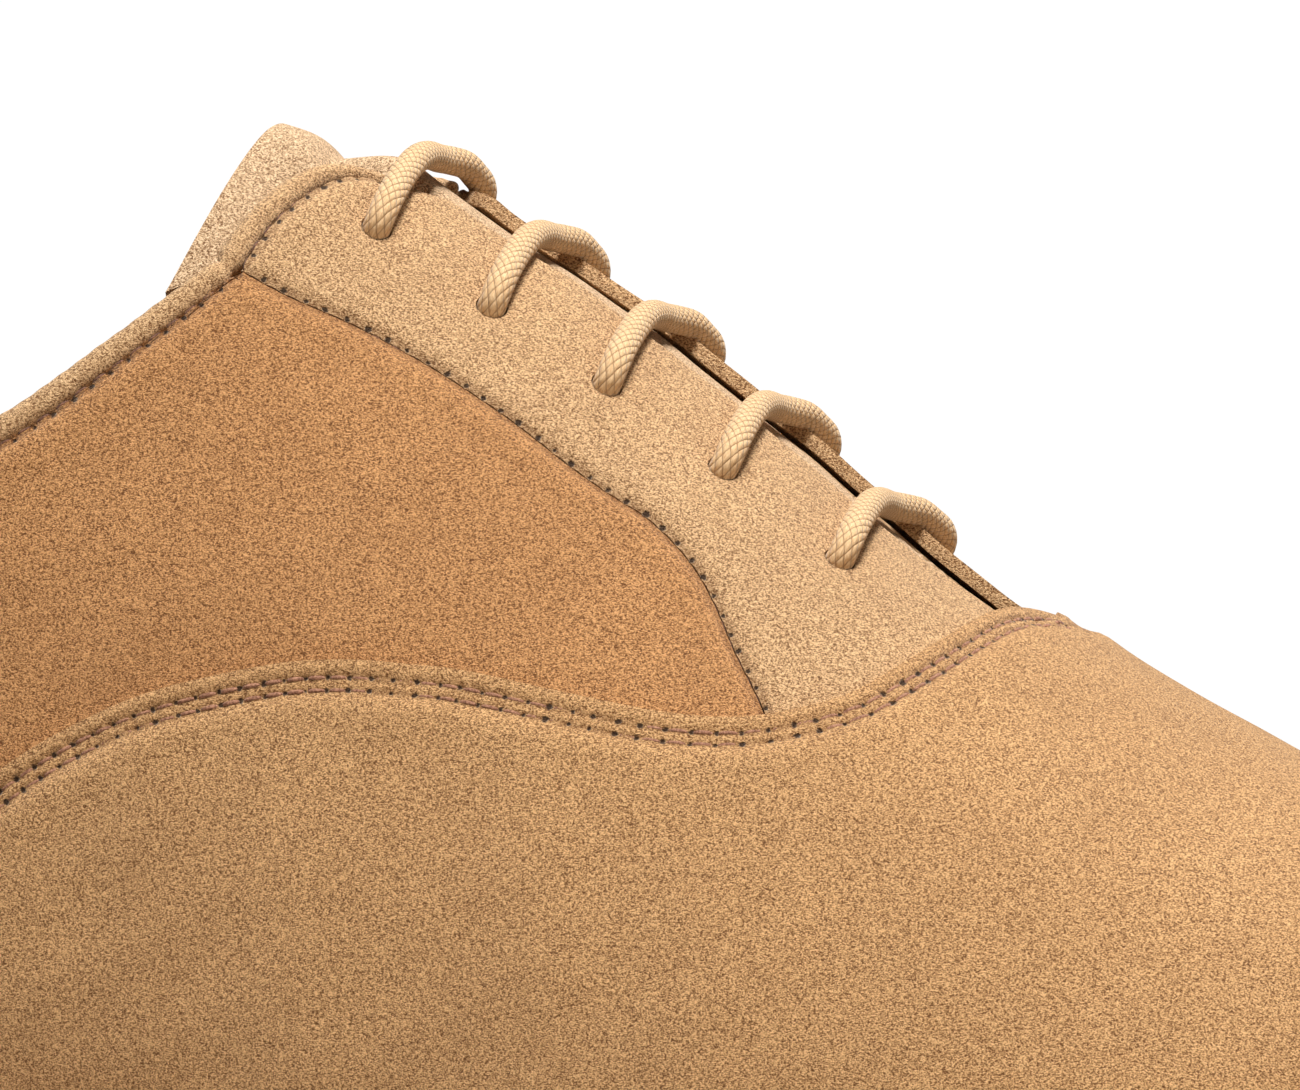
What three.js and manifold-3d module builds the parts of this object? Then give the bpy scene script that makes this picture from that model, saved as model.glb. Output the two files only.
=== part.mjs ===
// A lace-up cap-toe shoe for the right foot, laced with straight bars, as a three.js scene graph.
// Millimetres, +Z up, +X to the toe, -Y the outer side. The sole rests on z = 0.
// Every upper panel is a leaf of leather of real thickness laid over one last surface, layer on layer.
import * as THREE from "three";
import { mergeVertices } from "three/addons/utils/BufferGeometryUtils.js";
import Module from "manifold-3d";

const wasm = await Module();
wasm.setup();

// ---------------------------------------------------------------------------- driving dimensions

// The last, one row per station from the heel (0) to the toe (12): the foot of the wall on the outer
// side (x, y) and on the inner side (x, y), the ridge (x, y), how far the wall bulges past its foot,
// how high that bulge stands, the length of the ridge's handle and its turn from square across.
const STATIONS = [
  [-144, -1, -144, -1, -112, -1, 7, 24, 22, 90],
  [-136.5, -18.5, -136.5, 16.5, -108, -1, 6, 26, 24, 62],
  [-118, -28.5, -118, 26.5, -96, -1, 4.5, 30, 28, 28],
  [-92, -31.5, -92, 29, -76, -0.5, 4, 33, 30, 8],
  [-62, -31, -62, 26, -52, 0, 5, 36, 30, 0],
  [-32, -32.5, -32, 25.5, -27, 0.5, 7, 35, 29, 0],
  [-2, -37, -2, 31, -1, 1, 7, 33, 27, 0],
  [28, -42, 28, 38.5, 24, 1.5, 6, 29, 26, 0],
  [57, -43.5, 57, 43, 48, 2, 5, 24, 26, 0],
  [84, -38.5, 84, 41.5, 71, 2.5, 4.5, 19, 24, 4],
  [110, -28.5, 110, 35.5, 92, 3.5, 4, 16, 22, 20],
  [134, -14, 134.5, 23.5, 108, 4.5, 4, 15, 19, 55],
  [143.5, 5, 143.5, 5, 117, 5, 4, 14, 17, 90],
];
const RIDGE_HEIGHT = [
  [-112, 166], [-90, 159], [-68, 149], [-45, 135], [-22, 118.3], [-4, 104.7], [8, 96.6], [20, 87.4],
  [32, 77.2], [43, 68.2], [52, 62.2], [62, 56], [71, 51.2], [84, 46.2], [97, 42.4], [108, 39.6], [117, 37.4],
];
const FEATHER_HEIGHT = [
  [-150, 30.5], [-110, 29], [-80, 27], [-50, 23.2], [-20, 17], [10, 11.4], [38, 8.5],
  [70, 8.5], [86, 9.3], [105, 11.2], [125, 14.2], [150, 19.6],
];
const TREAD_HEIGHT = 8.5; // the feather never comes closer to the ground than this

// Layers, as [inner, outer] distances from the last surface along its normal.
const QUARTER = [-1.3, 0];
const VAMP = [0.6, 1.9];
const PUFF = [0.6, 1.6];
const TOE_CAP = [2.4, 3.7];
const DOUBLER = [-1.0, 0];
const VAMP_LINING = [-2.6, -1.5];
const QUARTER_LINING = [-2.8, -1.8];
const COUNTER = [-3.1, -1.8];
const COUNTER_LINING = [-4.6, -3.6];
const TONGUE = [-8.3, -6.9];
const TONGUE_LINING = [-9.9, -9.1];

// Layers of the bottom, as [bottom, top] heights from the feather line.
const SOCK = [2.0, 2.9];
const INSOLE = [-0.8, 1.7];
const WELT = [-4.3, -1.1];
const FILLER = [-4.3, -1.2];
const SHANK = [-3.4, -1.9];
const OUTSOLE = [-8.5, -4.6];
const SOLE_EDGE = 5.5; // how far welt and outsole stand out past the feather
const HEEL_BREAST_X = -74;
const HEEL_LIFTS = [[6.3, 10.3], [10.6, 14.6]];
const TOP_PIECE_HEIGHT = 6;

const EYELET_ROWS = 5;
const EYELET_STEP = [10.6, 0.4]; // x, and distance from the ridge, from one eyelet to the next
const LACE_DIAMETER = 2.6;
const PUNCHED_HOLE = 3.3;
const LINING_HOLE = 4.9;
const EYELET_BARREL = 4.3;
const EYELET_FLANGE = 7.2;
const PIPING = 2.6; // diameter of the rolled edge along the topline
const SETBACK = 2.95; // how far below the top of the rolled edge the panels stop
const SEAM_GAP = 0.4; // the clear gap between neighbouring panels along a seam
const UNDER_LAP_GAP = 1.2; // the same between the layers that end under the vamp
const TONGUE_TIP_X = -18.5;
const TONGUE_BASE_X = 52;
const NAIL_SPOTS = [[-134, -1], [-120, -15], [-120, 13], [-98, -17], [-98, 15]];

// Seams in side view (x, z).
const TOPLINE = [
  [-142.5, 90], [-128, 87.5], [-110, 83.5], [-92, 79.8], [-72, 77.2], [-56, 78.2], [-46, 80.6], [-39.5, 83.4],
  [-31, 89.6], [-25.4, 94.2], [-21.8, 97.4],
];
const FACING_SEAM = [
  [-21.8, 97.4], [-15, 93.7], [-6.1, 89.6], [4, 83.3], [13.4, 76.5], [18.2, 73.4], [22, 69.7], [24.6, 66.1],
  [27, 61.7], [29.2, 58.1], [30.4, 55.6], [31.6, 50.5], [32.5, 46],
];
const VAMP_EDGE = [
  [-74, 26.6], [-62, 33.5], [-50, 42.3], [-38.2, 51.3], [-30, 55.9], [-22.4, 58.6], [-13, 60.4], [-7, 60.7],
  [-1, 60.2], [4, 59.6], [12, 57.8], [20, 56], [26.2, 55.3], [31, 55.5], [36.5, 57], [40, 59.4], [42.8, 62], [44.8, 64.2],
];
// The lower edge of quarter and facing, hidden under the vamp.
const UNDER_VAMP = [
  [-66, 26], [-52, 33], [-40, 40.5], [-28, 46.5], [-14, 50], [0, 49.8], [14, 47.6], [24, 46.2], [32.5, 46],
];
const COUNTER_TOP = [[-144, 76], [-132, 72], [-118, 64], [-106, 54], [-98, 44]];
const VAMP_CREST_X = 48.6; // where the vamp's edge crosses the ridge
const CAP_SEAM = { feather: 76.4, ridge: 86 }; // x at the feather and on the ridge
const VAMP_FRONT = { feather: 87, ridge: 96 };
const PUFF_BACK = { feather: 88, ridge: 97 };

// ---------------------------------------------------------------------------- the last surface

const LAST_STATION = STATIONS.length - 1;

// A smooth curve y(x) through points, with each tangent taken from the neighbours.
function smoothCurve(points) {
  const slope = points.map((p, i) => {
    const a = points[Math.max(i - 1, 0)];
    const b = points[Math.min(i + 1, points.length - 1)];
    return (b[1] - a[1]) / (b[0] - a[0]);
  });
  return (x) => {
    let k = points.findIndex((p) => p[0] > x) - 1;
    if (k < 0) k = x < points[0][0] ? 0 : points.length - 2;
    const h = points[k + 1][0] - points[k][0];
    const u = (x - points[k][0]) / h;
    const v = 1 - u;
    return (
      points[k][1] * (1 + 2 * u) * v * v +
      slope[k] * h * u * v * v +
      points[k + 1][1] * u * u * (3 - 2 * u) -
      slope[k + 1] * h * u * u * v
    );
  };
}
const ridgeHeight = smoothCurve(RIDGE_HEIGHT);
const featherCurve = smoothCurve(FEATHER_HEIGHT);
const featherHeight = (x) => Math.max(featherCurve(THREE.MathUtils.clamp(x, -150, 150)), TREAD_HEIGHT);

// One column of the station table round the whole loop: heel, outer side, toe, inner side.
function loopColumn(outer, inner) {
  const forth = STATIONS.map((row) => row[outer]);
  const back = STATIONS.slice(1, -1).map((row) => row[inner]).reverse();
  const loop = [...forth, ...back];
  return (q) => {
    const n = loop.length;
    const k = Math.floor(q);
    const u = q - k;
    const [p0, p1, p2, p3] = [-1, 0, 1, 2].map((i) => loop[(k + i + 2 * n) % n]);
    const bend = 2 * p0 - 5 * p1 + 4 * p2 - p3;
    return 0.5 * (2 * p1 + (p2 - p0) * u + bend * u * u + (3 * p1 - p0 - 3 * p2 + p3) * u ** 3);
  };
}
const footX = loopColumn(0, 2);
const footY = loopColumn(1, 3);
const [ridgeX, ridgeY, bulge, bulgeHeight, handle] = [4, 5, 6, 7, 8].map((c) => loopColumn(c, c));

// The handle's turn runs straight between stations, so that it never overshoots.
function handleTurn(s) {
  const k = Math.min(Math.floor(s), LAST_STATION - 1);
  const turn = STATIONS[k][9] + (STATIONS[k + 1][9] - STATIONS[k][9]) * (s - k);
  return THREE.MathUtils.degToRad(turn);
}

const OUTER = -1;
const INNER = 1;
const THROAT_TOP_X = -5.6;
const THROAT_BASE_X = 52.4;

// The inner facing reaches closer to the ridge than the outer one, so its eyelets lie closer too.
const LACING = {
  [OUTER]: { edge: [8.9, 8.5], corner: [[-14.4, 13.8], [-12, 11.4], [-8.8, 9.1]], firstEyelet: [-9, 16.6] },
  [INNER]: { edge: [5.4, 5], corner: [[-14.2, 13.2], [-11.2, 9.3], [-8.2, 5.6]], firstEyelet: [-7, 10.2] },
};
const loopPlace = (side, s) => (side === OUTER ? s : 2 * LAST_STATION - s);

// The way out of the shoe at the foot of the wall, level with the ground.
function footNormal(side, s) {
  const q = loopPlace(side, s);
  const e = 1e-3;
  const dx = footX(q + e) - footX(q - e);
  const dy = footY(q + e) - footY(q - e);
  return new THREE.Vector3(dy, -dx, 0).normalize();
}

// A point of the last: side, s from heel 0 to toe 12, t from the feather 0 to the ridge 1.
function lastPoint(side, s, t) {
  const q = loopPlace(side, s);
  const out = footNormal(side, s);
  const foot = new THREE.Vector3(footX(q), footY(q), 0);
  foot.z = featherHeight(foot.x);
  const low = foot.clone().addScaledVector(out, bulge(q));
  low.z += bulgeHeight(q);
  const top = new THREE.Vector3(ridgeX(q), ridgeY(q), 0);
  top.z = ridgeHeight(top.x);
  const steepness = ridgeHeight(top.x + 0.5) - ridgeHeight(top.x - 0.5);
  const turn = handleTurn(s);
  const along = (s > LAST_STATION / 2 ? 1 : -1) * Math.sin(turn) * handle(q);
  const across = side * Math.cos(turn) * handle(q);
  const high = top.clone().add(new THREE.Vector3(along, across, steepness * along));
  const v = 1 - t;
  return foot
    .multiplyScalar(v ** 3)
    .addScaledVector(low, 3 * t * v * v)
    .addScaledVector(high, 3 * t * t * v)
    .addScaledVector(top, t ** 3);
}

function lastNormal(side, s, t) {
  if (t > 0.9985) {
    const x = ridgeX(s);
    return new THREE.Vector3(ridgeHeight(x - 0.5) - ridgeHeight(x + 0.5), 0, 1).normalize();
  }
  const e = 1e-3;
  const [s0, s1] = [Math.max(s - e, 0), Math.min(s + e, LAST_STATION)];
  const alongS = lastPoint(side, s1, t).sub(lastPoint(side, s0, t));
  if (s0 === 0 || s1 === LAST_STATION) alongS.copy(tipDirection(side, s, t));
  const alongT = lastPoint(side, s, t + e).sub(lastPoint(side, s, Math.max(t - e, 0)));
  return alongS.cross(alongT).multiplyScalar(-side).normalize();
}

// At the very heel and toe the two sides meet, so the surface runs on across from one to the other.
function tipDirection(side, s, t) {
  const e = 1e-3;
  const near = s < 1 ? e : LAST_STATION - e;
  const way = s < 1 ? 1 : -1;
  return lastPoint(side, near, t).sub(lastPoint(-side, near, t)).multiplyScalar(way);
}

const offLast = (side, s, t, d) => lastPoint(side, s, t).addScaledVector(lastNormal(side, s, t), d);

// ---------------------------------------------------------------------------- places on the last

// The place [s, t] on one side whose point measures the two wanted values.
function locate(side, measure, wanted, start) {
  let [s, t] = start;
  const e = 1e-4;
  for (let i = 0; i < 40; i += 1) {
    const [a, b] = measure(side, s, t);
    const [as, bs] = measure(side, s + e, t);
    const [at, bt] = measure(side, s, t - e);
    const [ds, dt] = [[(as - a) / e, (bs - b) / e], [(a - at) / e, (b - bt) / e]];
    const det = ds[0] * dt[1] - ds[1] * dt[0];
    const [ra, rb] = [wanted[0] - a, wanted[1] - b];
    const step = [(ra * dt[1] - rb * dt[0]) / det, (ds[0] * rb - ds[1] * ra) / det];
    s = THREE.MathUtils.clamp(s + THREE.MathUtils.clamp(step[0], -0.4, 0.4), 0.001, LAST_STATION - 0.001);
    t = THREE.MathUtils.clamp(t + THREE.MathUtils.clamp(step[1], -0.2, 0.2), 0.001, 0.999);
  }
  return [s, t];
}
const inSideView = (side, s, t) => {
  const p = lastPoint(side, s, t);
  return [p.x, p.z];
};
const inPlan = (side, s, t) => {
  const p = lastPoint(side, s, t);
  return [p.x, side * (p.y - ridgeY(s))];
};

// Places along a seam drawn through points of a view, evenly spaced on the last, from trim mm after
// the seam's start.
const SEAM_TRIALS = 6;
function seam(side, points, steps, { measure = inSideView, trim = 0, start } = {}) {
  const curve = new THREE.SplineCurve(points.map(([a, b]) => new THREE.Vector2(a, b)));
  let near = start ?? [stationAt(points[0][0], 0), 0.5];
  const trials = curve.getPoints(SEAM_TRIALS * steps).map((p) => {
    near = locate(side, measure, [p.x, p.y], near);
    return near;
  });
  const walked = [0];
  trials.slice(1).forEach((place, i) => {
    walked.push(walked[i] + lastPoint(side, ...place).distanceTo(lastPoint(side, ...trials[i])));
  });
  const whole = walked[walked.length - 1];
  return Array.from({ length: steps + 1 }, (_, i) => {
    const goal = trim + ((whole - trim) * i) / steps;
    const k = THREE.MathUtils.clamp(walked.filter((d) => d < goal).length - 1, 0, trials.length - 2);
    const part = THREE.MathUtils.clamp((goal - walked[k]) / (walked[k + 1] - walked[k]), 0, 1);
    return trials[k].map((value, c) => value + (trials[k + 1][c] - value) * part);
  });
}

// The station whose ridge (or foot, with column 0) stands at x.
function stationAt(x, column = 4) {
  const k = Math.max(STATIONS.findIndex((row) => row[column] > x) - 1, 0);
  const [a, b] = [STATIONS[k][column], STATIONS[k + 1][column]];
  let s = k + (x - a) / (b - a);
  const value = column === 4 ? ridgeX : footX;
  for (let i = 0; i < 8; i += 1) {
    const e = 1e-4;
    s -= (value(s) - x) / ((value(s + e) - value(s - e)) / (2 * e));
  }
  return s;
}

// Places evenly spaced in s along the feather or the ridge.
function level(from, to, t, steps) {
  return Array.from({ length: steps + 1 }, (_, i) => [from + ((to - from) * i) / steps, t]);
}

// Places evenly spaced on the straight line between two places.
function straight(a, b, steps) {
  return Array.from({ length: steps + 1 }, (_, i) => [
    a[0] + ((b[0] - a[0]) * i) / steps,
    a[1] + ((b[1] - a[1]) * i) / steps,
  ]);
}
const joined = (...runs) => runs.flatMap((run, i) => (i ? run.slice(1) : run));

// A run of places moved across itself by d mm, to the left of its way forward on the outer side.
function shifted(side, run, d) {
  return run.map(([s, t], i) => {
    const [a, b] = [run[Math.max(i - 1, 0)], run[Math.min(i + 1, run.length - 1)]];
    const ahead = lastPoint(side, b[0], b[1]).sub(lastPoint(side, a[0], a[1])).normalize();
    const out = lastNormal(side, s, t);
    const aim = out.cross(ahead).multiplyScalar(-side * d).add(lastPoint(side, s, t));
    return nearest(side, aim, [s, t]);
  });
}

// The place whose point lies nearest to a point in space.
function nearest(side, aim, start) {
  let [s, t] = start;
  const e = 1e-3;
  for (let i = 0; i < 12; i += 1) {
    const p = lastPoint(side, s, t);
    const ds = lastPoint(side, s + e, t).sub(p).divideScalar(e);
    const dt = p.clone().sub(lastPoint(side, s, t - e)).divideScalar(e);
    const r = aim.clone().sub(p);
    const [ss, st, tt] = [ds.dot(ds), ds.dot(dt), dt.dot(dt)];
    const det = ss * tt - st * st;
    s = THREE.MathUtils.clamp(s + (r.dot(ds) * tt - r.dot(dt) * st) / det, 0.001, LAST_STATION - 0.001);
    t = THREE.MathUtils.clamp(t + (r.dot(dt) * ss - r.dot(ds) * st) / det, 0, 1);
  }
  return [s, t];
}

// A net of places that fills four edges: lower and upper run the same way with the same count.
// The two ends are straight unless their own runs (from lower to upper) are given.
function net(lower, upper, across, { start, end } = {}) {
  const last = lower.length - 1;
  const first = start ?? straight(lower[0], upper[0], across);
  const final = end ?? straight(lower[last], upper[last], across);
  return lower.map((low, i) => {
    const u = i / last;
    return first.map((_, j) => {
      const v = j / across;
      return [0, 1].map((c) => {
        const edges = (1 - v) * low[c] + v * upper[i][c] + (1 - u) * first[j][c] + u * final[j][c];
        const ends = (1 - u) * ((1 - v) * lower[0][c] + v * upper[0][c]);
        const fars = u * ((1 - v) * lower[last][c] + v * upper[last][c]);
        return edges - ends - fars;
      });
    });
  });
}

// ---------------------------------------------------------------------------- solid builders

// A closed solid from sheets: each sheet is a grid of { out, back } points, whose out side faces out
// when rows run forward and columns run up on the outer side. Sheets weld where they share points.
function leaf(sheets) {
  const index = new Map();
  const outs = [];
  const backs = [];
  const pick = ({ out, back }) => {
    const key = [out.x, out.y, out.z].map((c) => Math.round(c * 2000)).join();
    if (!index.has(key)) {
      index.set(key, outs.length);
      outs.push(out);
      backs.push(back);
    }
    return index.get(key);
  };
  const faces = [];
  for (const { rows, flip } of sheets) {
    const ids = rows.map((row) => row.map(pick));
    for (let i = 0; i + 1 < ids.length; i += 1) {
      for (let j = 0; j + 1 < ids[i].length; j += 1) {
        const quad = [ids[i][j], ids[i + 1][j], ids[i + 1][j + 1], ids[i][j + 1]];
        if (flip) quad.reverse();
        const [a, b, c, d] = quad;
        const crossed = outs[a].distanceTo(outs[c]) > outs[b].distanceTo(outs[d]);
        faces.push(...(crossed ? [[a, b, d], [b, c, d]] : [[a, b, c], [a, c, d]]));
      }
    }
  }
  const whole = faces.filter(([a, b, c]) => a !== b && b !== c && c !== a);
  const count = outs.length;
  const edges = new Set(whole.flatMap(([a, b, c]) => [`${a},${b}`, `${b},${c}`, `${c},${a}`]));
  const triangles = whole.flatMap(([a, b, c]) => [a, b, c, a + count, c + count, b + count]);
  for (const edge of edges) {
    const [a, b] = edge.split(",").map(Number);
    if (!edges.has(`${b},${a}`)) triangles.push(b, a, a + count, b, a + count, b + count);
  }
  const geometry = new THREE.BufferGeometry();
  geometry.setAttribute(
    "position",
    new THREE.Float32BufferAttribute([...outs, ...backs].flatMap((p) => [p.x, p.y, p.z]), 3),
  );
  geometry.setIndex(triangles);
  return geometry;
}

// A leather leaf over one net of places, or over the same net on both sides.
const asLayer = (layer) => (typeof layer === "function" ? layer : () => layer);
function onSide(side, places, layer) {
  const depth = asLayer(layer);
  const rows = places.map((row) =>
    row.map(([s, t]) => {
      const [inner, outer] = depth(s, t);
      return { out: offLast(side, s, t, outer), back: offLast(side, s, t, inner) };
    }),
  );
  return { rows, flip: side === INNER };
}
const panel = (side, places, layer) => leaf([onSide(side, places, layer)]);

// A level layer of the bottom: rows across the foot, from the outer edge to the inner one.
function edgePoint(side, s, reach) {
  const q = loopPlace(side, s);
  return new THREE.Vector3(footX(q), footY(q), 0).addScaledVector(footNormal(side, s), reach);
}
function bottomLayer(places, reach, low, high) {
  const across = 4;
  const rows = places.map((s) => {
    const a = edgePoint(OUTER, s, reach);
    const b = edgePoint(INNER, s, reach);
    return Array.from({ length: across + 1 }, (_, j) => {
      const p = a.clone().lerp(b, j / across);
      const [out, back] = [p, p.clone()];
      out.z = high(p.x);
      back.z = low(p.x);
      return { out, back };
    });
  });
  return leaf([{ rows, flip: false }]);
}
const fromFeather = (d) => (x) => featherHeight(x) + d;
const atHeight = (z) => () => z;

// Stations from one to another, closer together round the toe and the heel.
function stations(from, to, step) {
  const list = [from];
  while (list[list.length - 1] < to) {
    const s = list[list.length - 1];
    const fine = s < 1.3 || s > 10 ? 0.4 : 1;
    list.push(s + step * fine);
  }
  list[list.length - 1] = to;
  return list;
}

// A round cord through every point given, with one ring of its section at each.
class Route extends THREE.CatmullRomCurve3 {
  getUtoTmapping(u) {
    return u;
  }
}
function cord(points, diameter, sides = 8) {
  const ring = Array.from({ length: sides }, (_, i) => {
    const angle = (i * 2 * Math.PI) / sides;
    return new THREE.Vector2(Math.cos(angle), Math.sin(angle)).multiplyScalar(diameter / 2);
  });
  return new THREE.ExtrudeGeometry(new THREE.Shape(ring), {
    steps: points.length - 1,
    extrudePath: new Route(points, false, "centripetal"),
  });
}

// ---------------------------------------------------------------------------- cutting

function toSolid(geometry) {
  const bare = geometry.index ? geometry.toNonIndexed() : geometry.clone();
  bare.deleteAttribute("normal");
  bare.deleteAttribute("uv");
  const merged = mergeVertices(bare, 1e-4);
  return new wasm.Manifold(
    new wasm.Mesh({
      numProp: 3,
      vertProperties: merged.attributes.position.array,
      triVerts: new Uint32Array(merged.index.array),
    }),
  );
}
function toGeometry(solid) {
  const mesh = solid.getMesh();
  const geometry = new THREE.BufferGeometry();
  geometry.setAttribute("position", new THREE.BufferAttribute(mesh.vertProperties, 3));
  geometry.setIndex(new THREE.BufferAttribute(mesh.triVerts, 1));
  return geometry;
}
function cutAway(geometry, cutters) {
  return toGeometry(cutters.reduce((solid, cutter) => solid.subtract(toSolid(cutter)), toSolid(geometry)));
}

// ---------------------------------------------------------------------------- seams that panels share

const TOPLINE_STEPS = 11;
const FACING_STEPS = 10;
const CORNER_STEPS = 5;
const FOOT_STEPS = CORNER_STEPS;
const EDGE_STEPS = 14;
const UPPER_FOOT = 0.012; // how far up the wall the panels' lower edges lie
const BACK_SEAM = 0.012; // the station where each quarter stops short of the heel's middle
const heelwards = (run) => [[BACK_SEAM, run[0][1]], ...run.slice(1)];

function makeSeams(side) {
  const topline = seam(side, TOPLINE, TOPLINE_STEPS, { start: [0.2, 0.5] });
  topline[0] = [0, topline[0][1]];
  const corner = topline[TOPLINE_STEPS];
  const facingSeam = seam(side, FACING_SEAM, FACING_STEPS, { start: corner, trim: SETBACK * 1.1 });
  const throat = Array.from({ length: FACING_STEPS + 1 }, (_, i) => {
    const u = i / FACING_STEPS;
    const x = THREE.MathUtils.lerp(THROAT_TOP_X, THROAT_BASE_X, u);
    return locate(side, inPlan, [x, THREE.MathUtils.lerp(...LACING[side].edge, u)], [stationAt(x), 0.9]);
  });
  const facingTop = seam(
    side,
    [inPlan(side, ...corner), [-20.1, 21.5], [-17, 17.3], ...LACING[side].corner],
    CORNER_STEPS,
    { measure: inPlan, start: corner },
  );
  const waist = stationAt(UNDER_VAMP[0][0], 0);
  const underVamp = seam(side, UNDER_VAMP, FACING_STEPS, { start: [waist, 0.02] });
  underVamp[0] = [waist, 0];
  const tail = stationAt(VAMP_EDGE[0][0], 0);
  const rise = seam(side, VAMP_EDGE, EDGE_STEPS, { start: [tail, 0.02] });
  rise[0] = [tail, 0];
  const crest = [stationAt(VAMP_CREST_X), 1];
  const vampEdge = joined(rise, straight(rise[EDGE_STEPS], crest, 2));
  return { topline, corner, facingSeam, throat, facingTop, underVamp, waist, vampEdge, tail };
}
const SEAMS = { [OUTER]: makeSeams(OUTER), [INNER]: makeSeams(INNER) };
const BOTH_SIDES = [OUTER, INNER];

// ---------------------------------------------------------------------------- upper panels

function quarter(side) {
  const { topline, facingSeam, underVamp, waist } = SEAMS[side];
  const front = shifted(side, facingSeam, -SEAM_GAP / 2);
  const top = shifted(side, topline, -SETBACK);
  const upper = joined([...top.slice(0, -1), front[0]], front);
  const lower = joined(level(0, waist, UPPER_FOOT, TOPLINE_STEPS), underVamp);
  lower[lower.length - 1] = front[FACING_STEPS];
  return panel(side, net(heelwards(lower), heelwards(upper), 7), QUARTER);
}

function facing(side) {
  const { facingSeam, throat, facingTop } = SEAMS[side];
  const lower = shifted(side, facingSeam, SEAM_GAP / 2);
  const start = shifted(side, facingTop, -SETBACK);
  start[0] = lower[0];
  start[CORNER_STEPS] = throat[0];
  const bare = panel(side, net(lower, throat, CORNER_STEPS, { start }), QUARTER);
  return cutAway(bare, eyeletPlaces(side).map((place) => holeCutter(side, place, PUNCHED_HOLE)));
}

// One lining for quarter and facing, which dips behind the counter at the heel.
function quarterLining(side) {
  const { topline, facingSeam, facingTop, throat, underVamp, waist } = SEAMS[side];
  const top = shifted(side, topline, -SETBACK);
  const upper = joined([...top.slice(0, -1), facingSeam[0]], facingSeam);
  const lower = joined(level(0, waist, UPPER_FOOT, TOPLINE_STEPS), underVamp);
  lower[lower.length - 1] = facingSeam[FACING_STEPS];
  const start = shifted(side, facingTop, -SETBACK);
  start[0] = facingSeam[0];
  start[CORNER_STEPS] = throat[0];
  const bare = leaf([
    onSide(side, net(heelwards(lower), heelwards(upper), 6), liningDepth),
    onSide(side, net(facingSeam, throat, CORNER_STEPS, { start }), liningDepth),
  ]);
  return cutAway(bare, eyeletPlaces(side).map((place) => holeCutter(side, place, LINING_HOLE)));
}

const COUNTER_FRONT = 2.75; // the station where the counter ends
function liningDepth(s) {
  const dip = 1 - THREE.MathUtils.smoothstep(s, COUNTER_FRONT + 0.1, COUNTER_FRONT + 1.2);
  return QUARTER_LINING.map((d, i) => d + (COUNTER_LINING[i] - d) * dip);
}

// A layer that closes over the ridge and, where its nets reach them, round the toe or the heel.
function hood(nets, layer) {
  return leaf(BOTH_SIDES.map((side) => onSide(side, nets(side), layer)));
}

function vampNet(side) {
  const { vampEdge, tail } = SEAMS[side];
  const crest = vampEdge[vampEdge.length - 1];
  const upper = joined(vampEdge, level(crest[0], stationAt(VAMP_FRONT.ridge), 1, 4));
  const middle = stationAt(46, 0);
  const lower = joined(
    level(tail, middle, UPPER_FOOT, vampEdge.length - 1),
    level(middle, stationAt(VAMP_FRONT.feather, 0), UPPER_FOOT, 4),
  );
  lower[0] = upper[0];
  return net(lower, upper, 9);
}

// The leather under the vamp, ahead of where quarter and facing end, as far as the toe.
function underLayerNet(side) {
  const { underVamp, throat, waist } = SEAMS[side];
  const foot = straight(underVamp[FACING_STEPS], throat[FACING_STEPS], FOOT_STEPS);
  const edge = shifted(side, joined(underVamp, foot), -UNDER_LAP_GAP);
  const start = stationAt(UNDER_VAMP[0][0] + 2, 0);
  edge[0] = [start, UPPER_FOOT];
  const crest = [stationAt(TONGUE_BASE_X + 3), 1];
  const upper = joined(edge, straight(edge[edge.length - 1], crest, 1), level(crest[0], LAST_STATION, 1, TOE_STEPS));
  const middle = stationAt(56, 0);
  const lower = joined(
    level(start, middle, UPPER_FOOT, upper.length - 1 - TOE_STEPS),
    level(middle, LAST_STATION, UPPER_FOOT, TOE_STEPS),
  );
  return net(lower, upper, 6);
}
const TOE_STEPS = 7;

function capNet(side, { feather, ridge }, foot) {
  const lower = level(stationAt(feather, 0), LAST_STATION, foot, TOE_STEPS);
  return net(lower, level(stationAt(ridge), LAST_STATION, 1, TOE_STEPS), 7);
}

function counterNet(side) {
  const top = seam(side, COUNTER_TOP, 7, { start: [0.2, 0.4] });
  top[0] = [0, BACK_HEIGHT];
  return net(level(0, COUNTER_FRONT, UPPER_FOOT, 7), top, 5);
}
const BACK_HEIGHT = locate(OUTER, inSideView, COUNTER_TOP[0], [0.2, 0.4])[1];

// The strip that covers the back seam.
const STRIP_HALF = [0.42, 0.3]; // its half width in stations, at the feather and at the top
function backStripNet(side) {
  const top = SEAMS[OUTER].topline[0][1] - 0.035;
  const rows = level(0, 1, 0, 2).map(([u]) => u);
  return rows.map((u) =>
    Array.from({ length: 9 }, (_, j) => {
      const v = j / 8;
      return [u * (STRIP_HALF[0] + (STRIP_HALF[1] - STRIP_HALF[0]) * v), UPPER_FOOT + (top - UPPER_FOOT) * v];
    }),
  );
}

// The rolled edge along the whole topline, from one throat corner round the heel to the other.
function rolledEdge() {
  const half = (side) => {
    const { topline, facingTop } = SEAMS[side];
    const run = shifted(side, joined(topline, facingTop), -PIPING / 2);
    run[0][0] = 0;
    return run.map(([s, t]) => offLast(side, s, t, (QUARTER[1] + QUARTER_LINING[0]) / 2 - (s < 3 ? 0.4 : 0)));
  };
  return cord([...half(OUTER).reverse(), ...half(INNER).slice(1)], PIPING);
}

// ---------------------------------------------------------------------------- tongue

const TONGUE_ROWS = 9;
const TONGUE_COLUMNS = 5;
const tongueHalfWidth = (u) => 21.5 - 8 * u ** 1.5;

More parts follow.
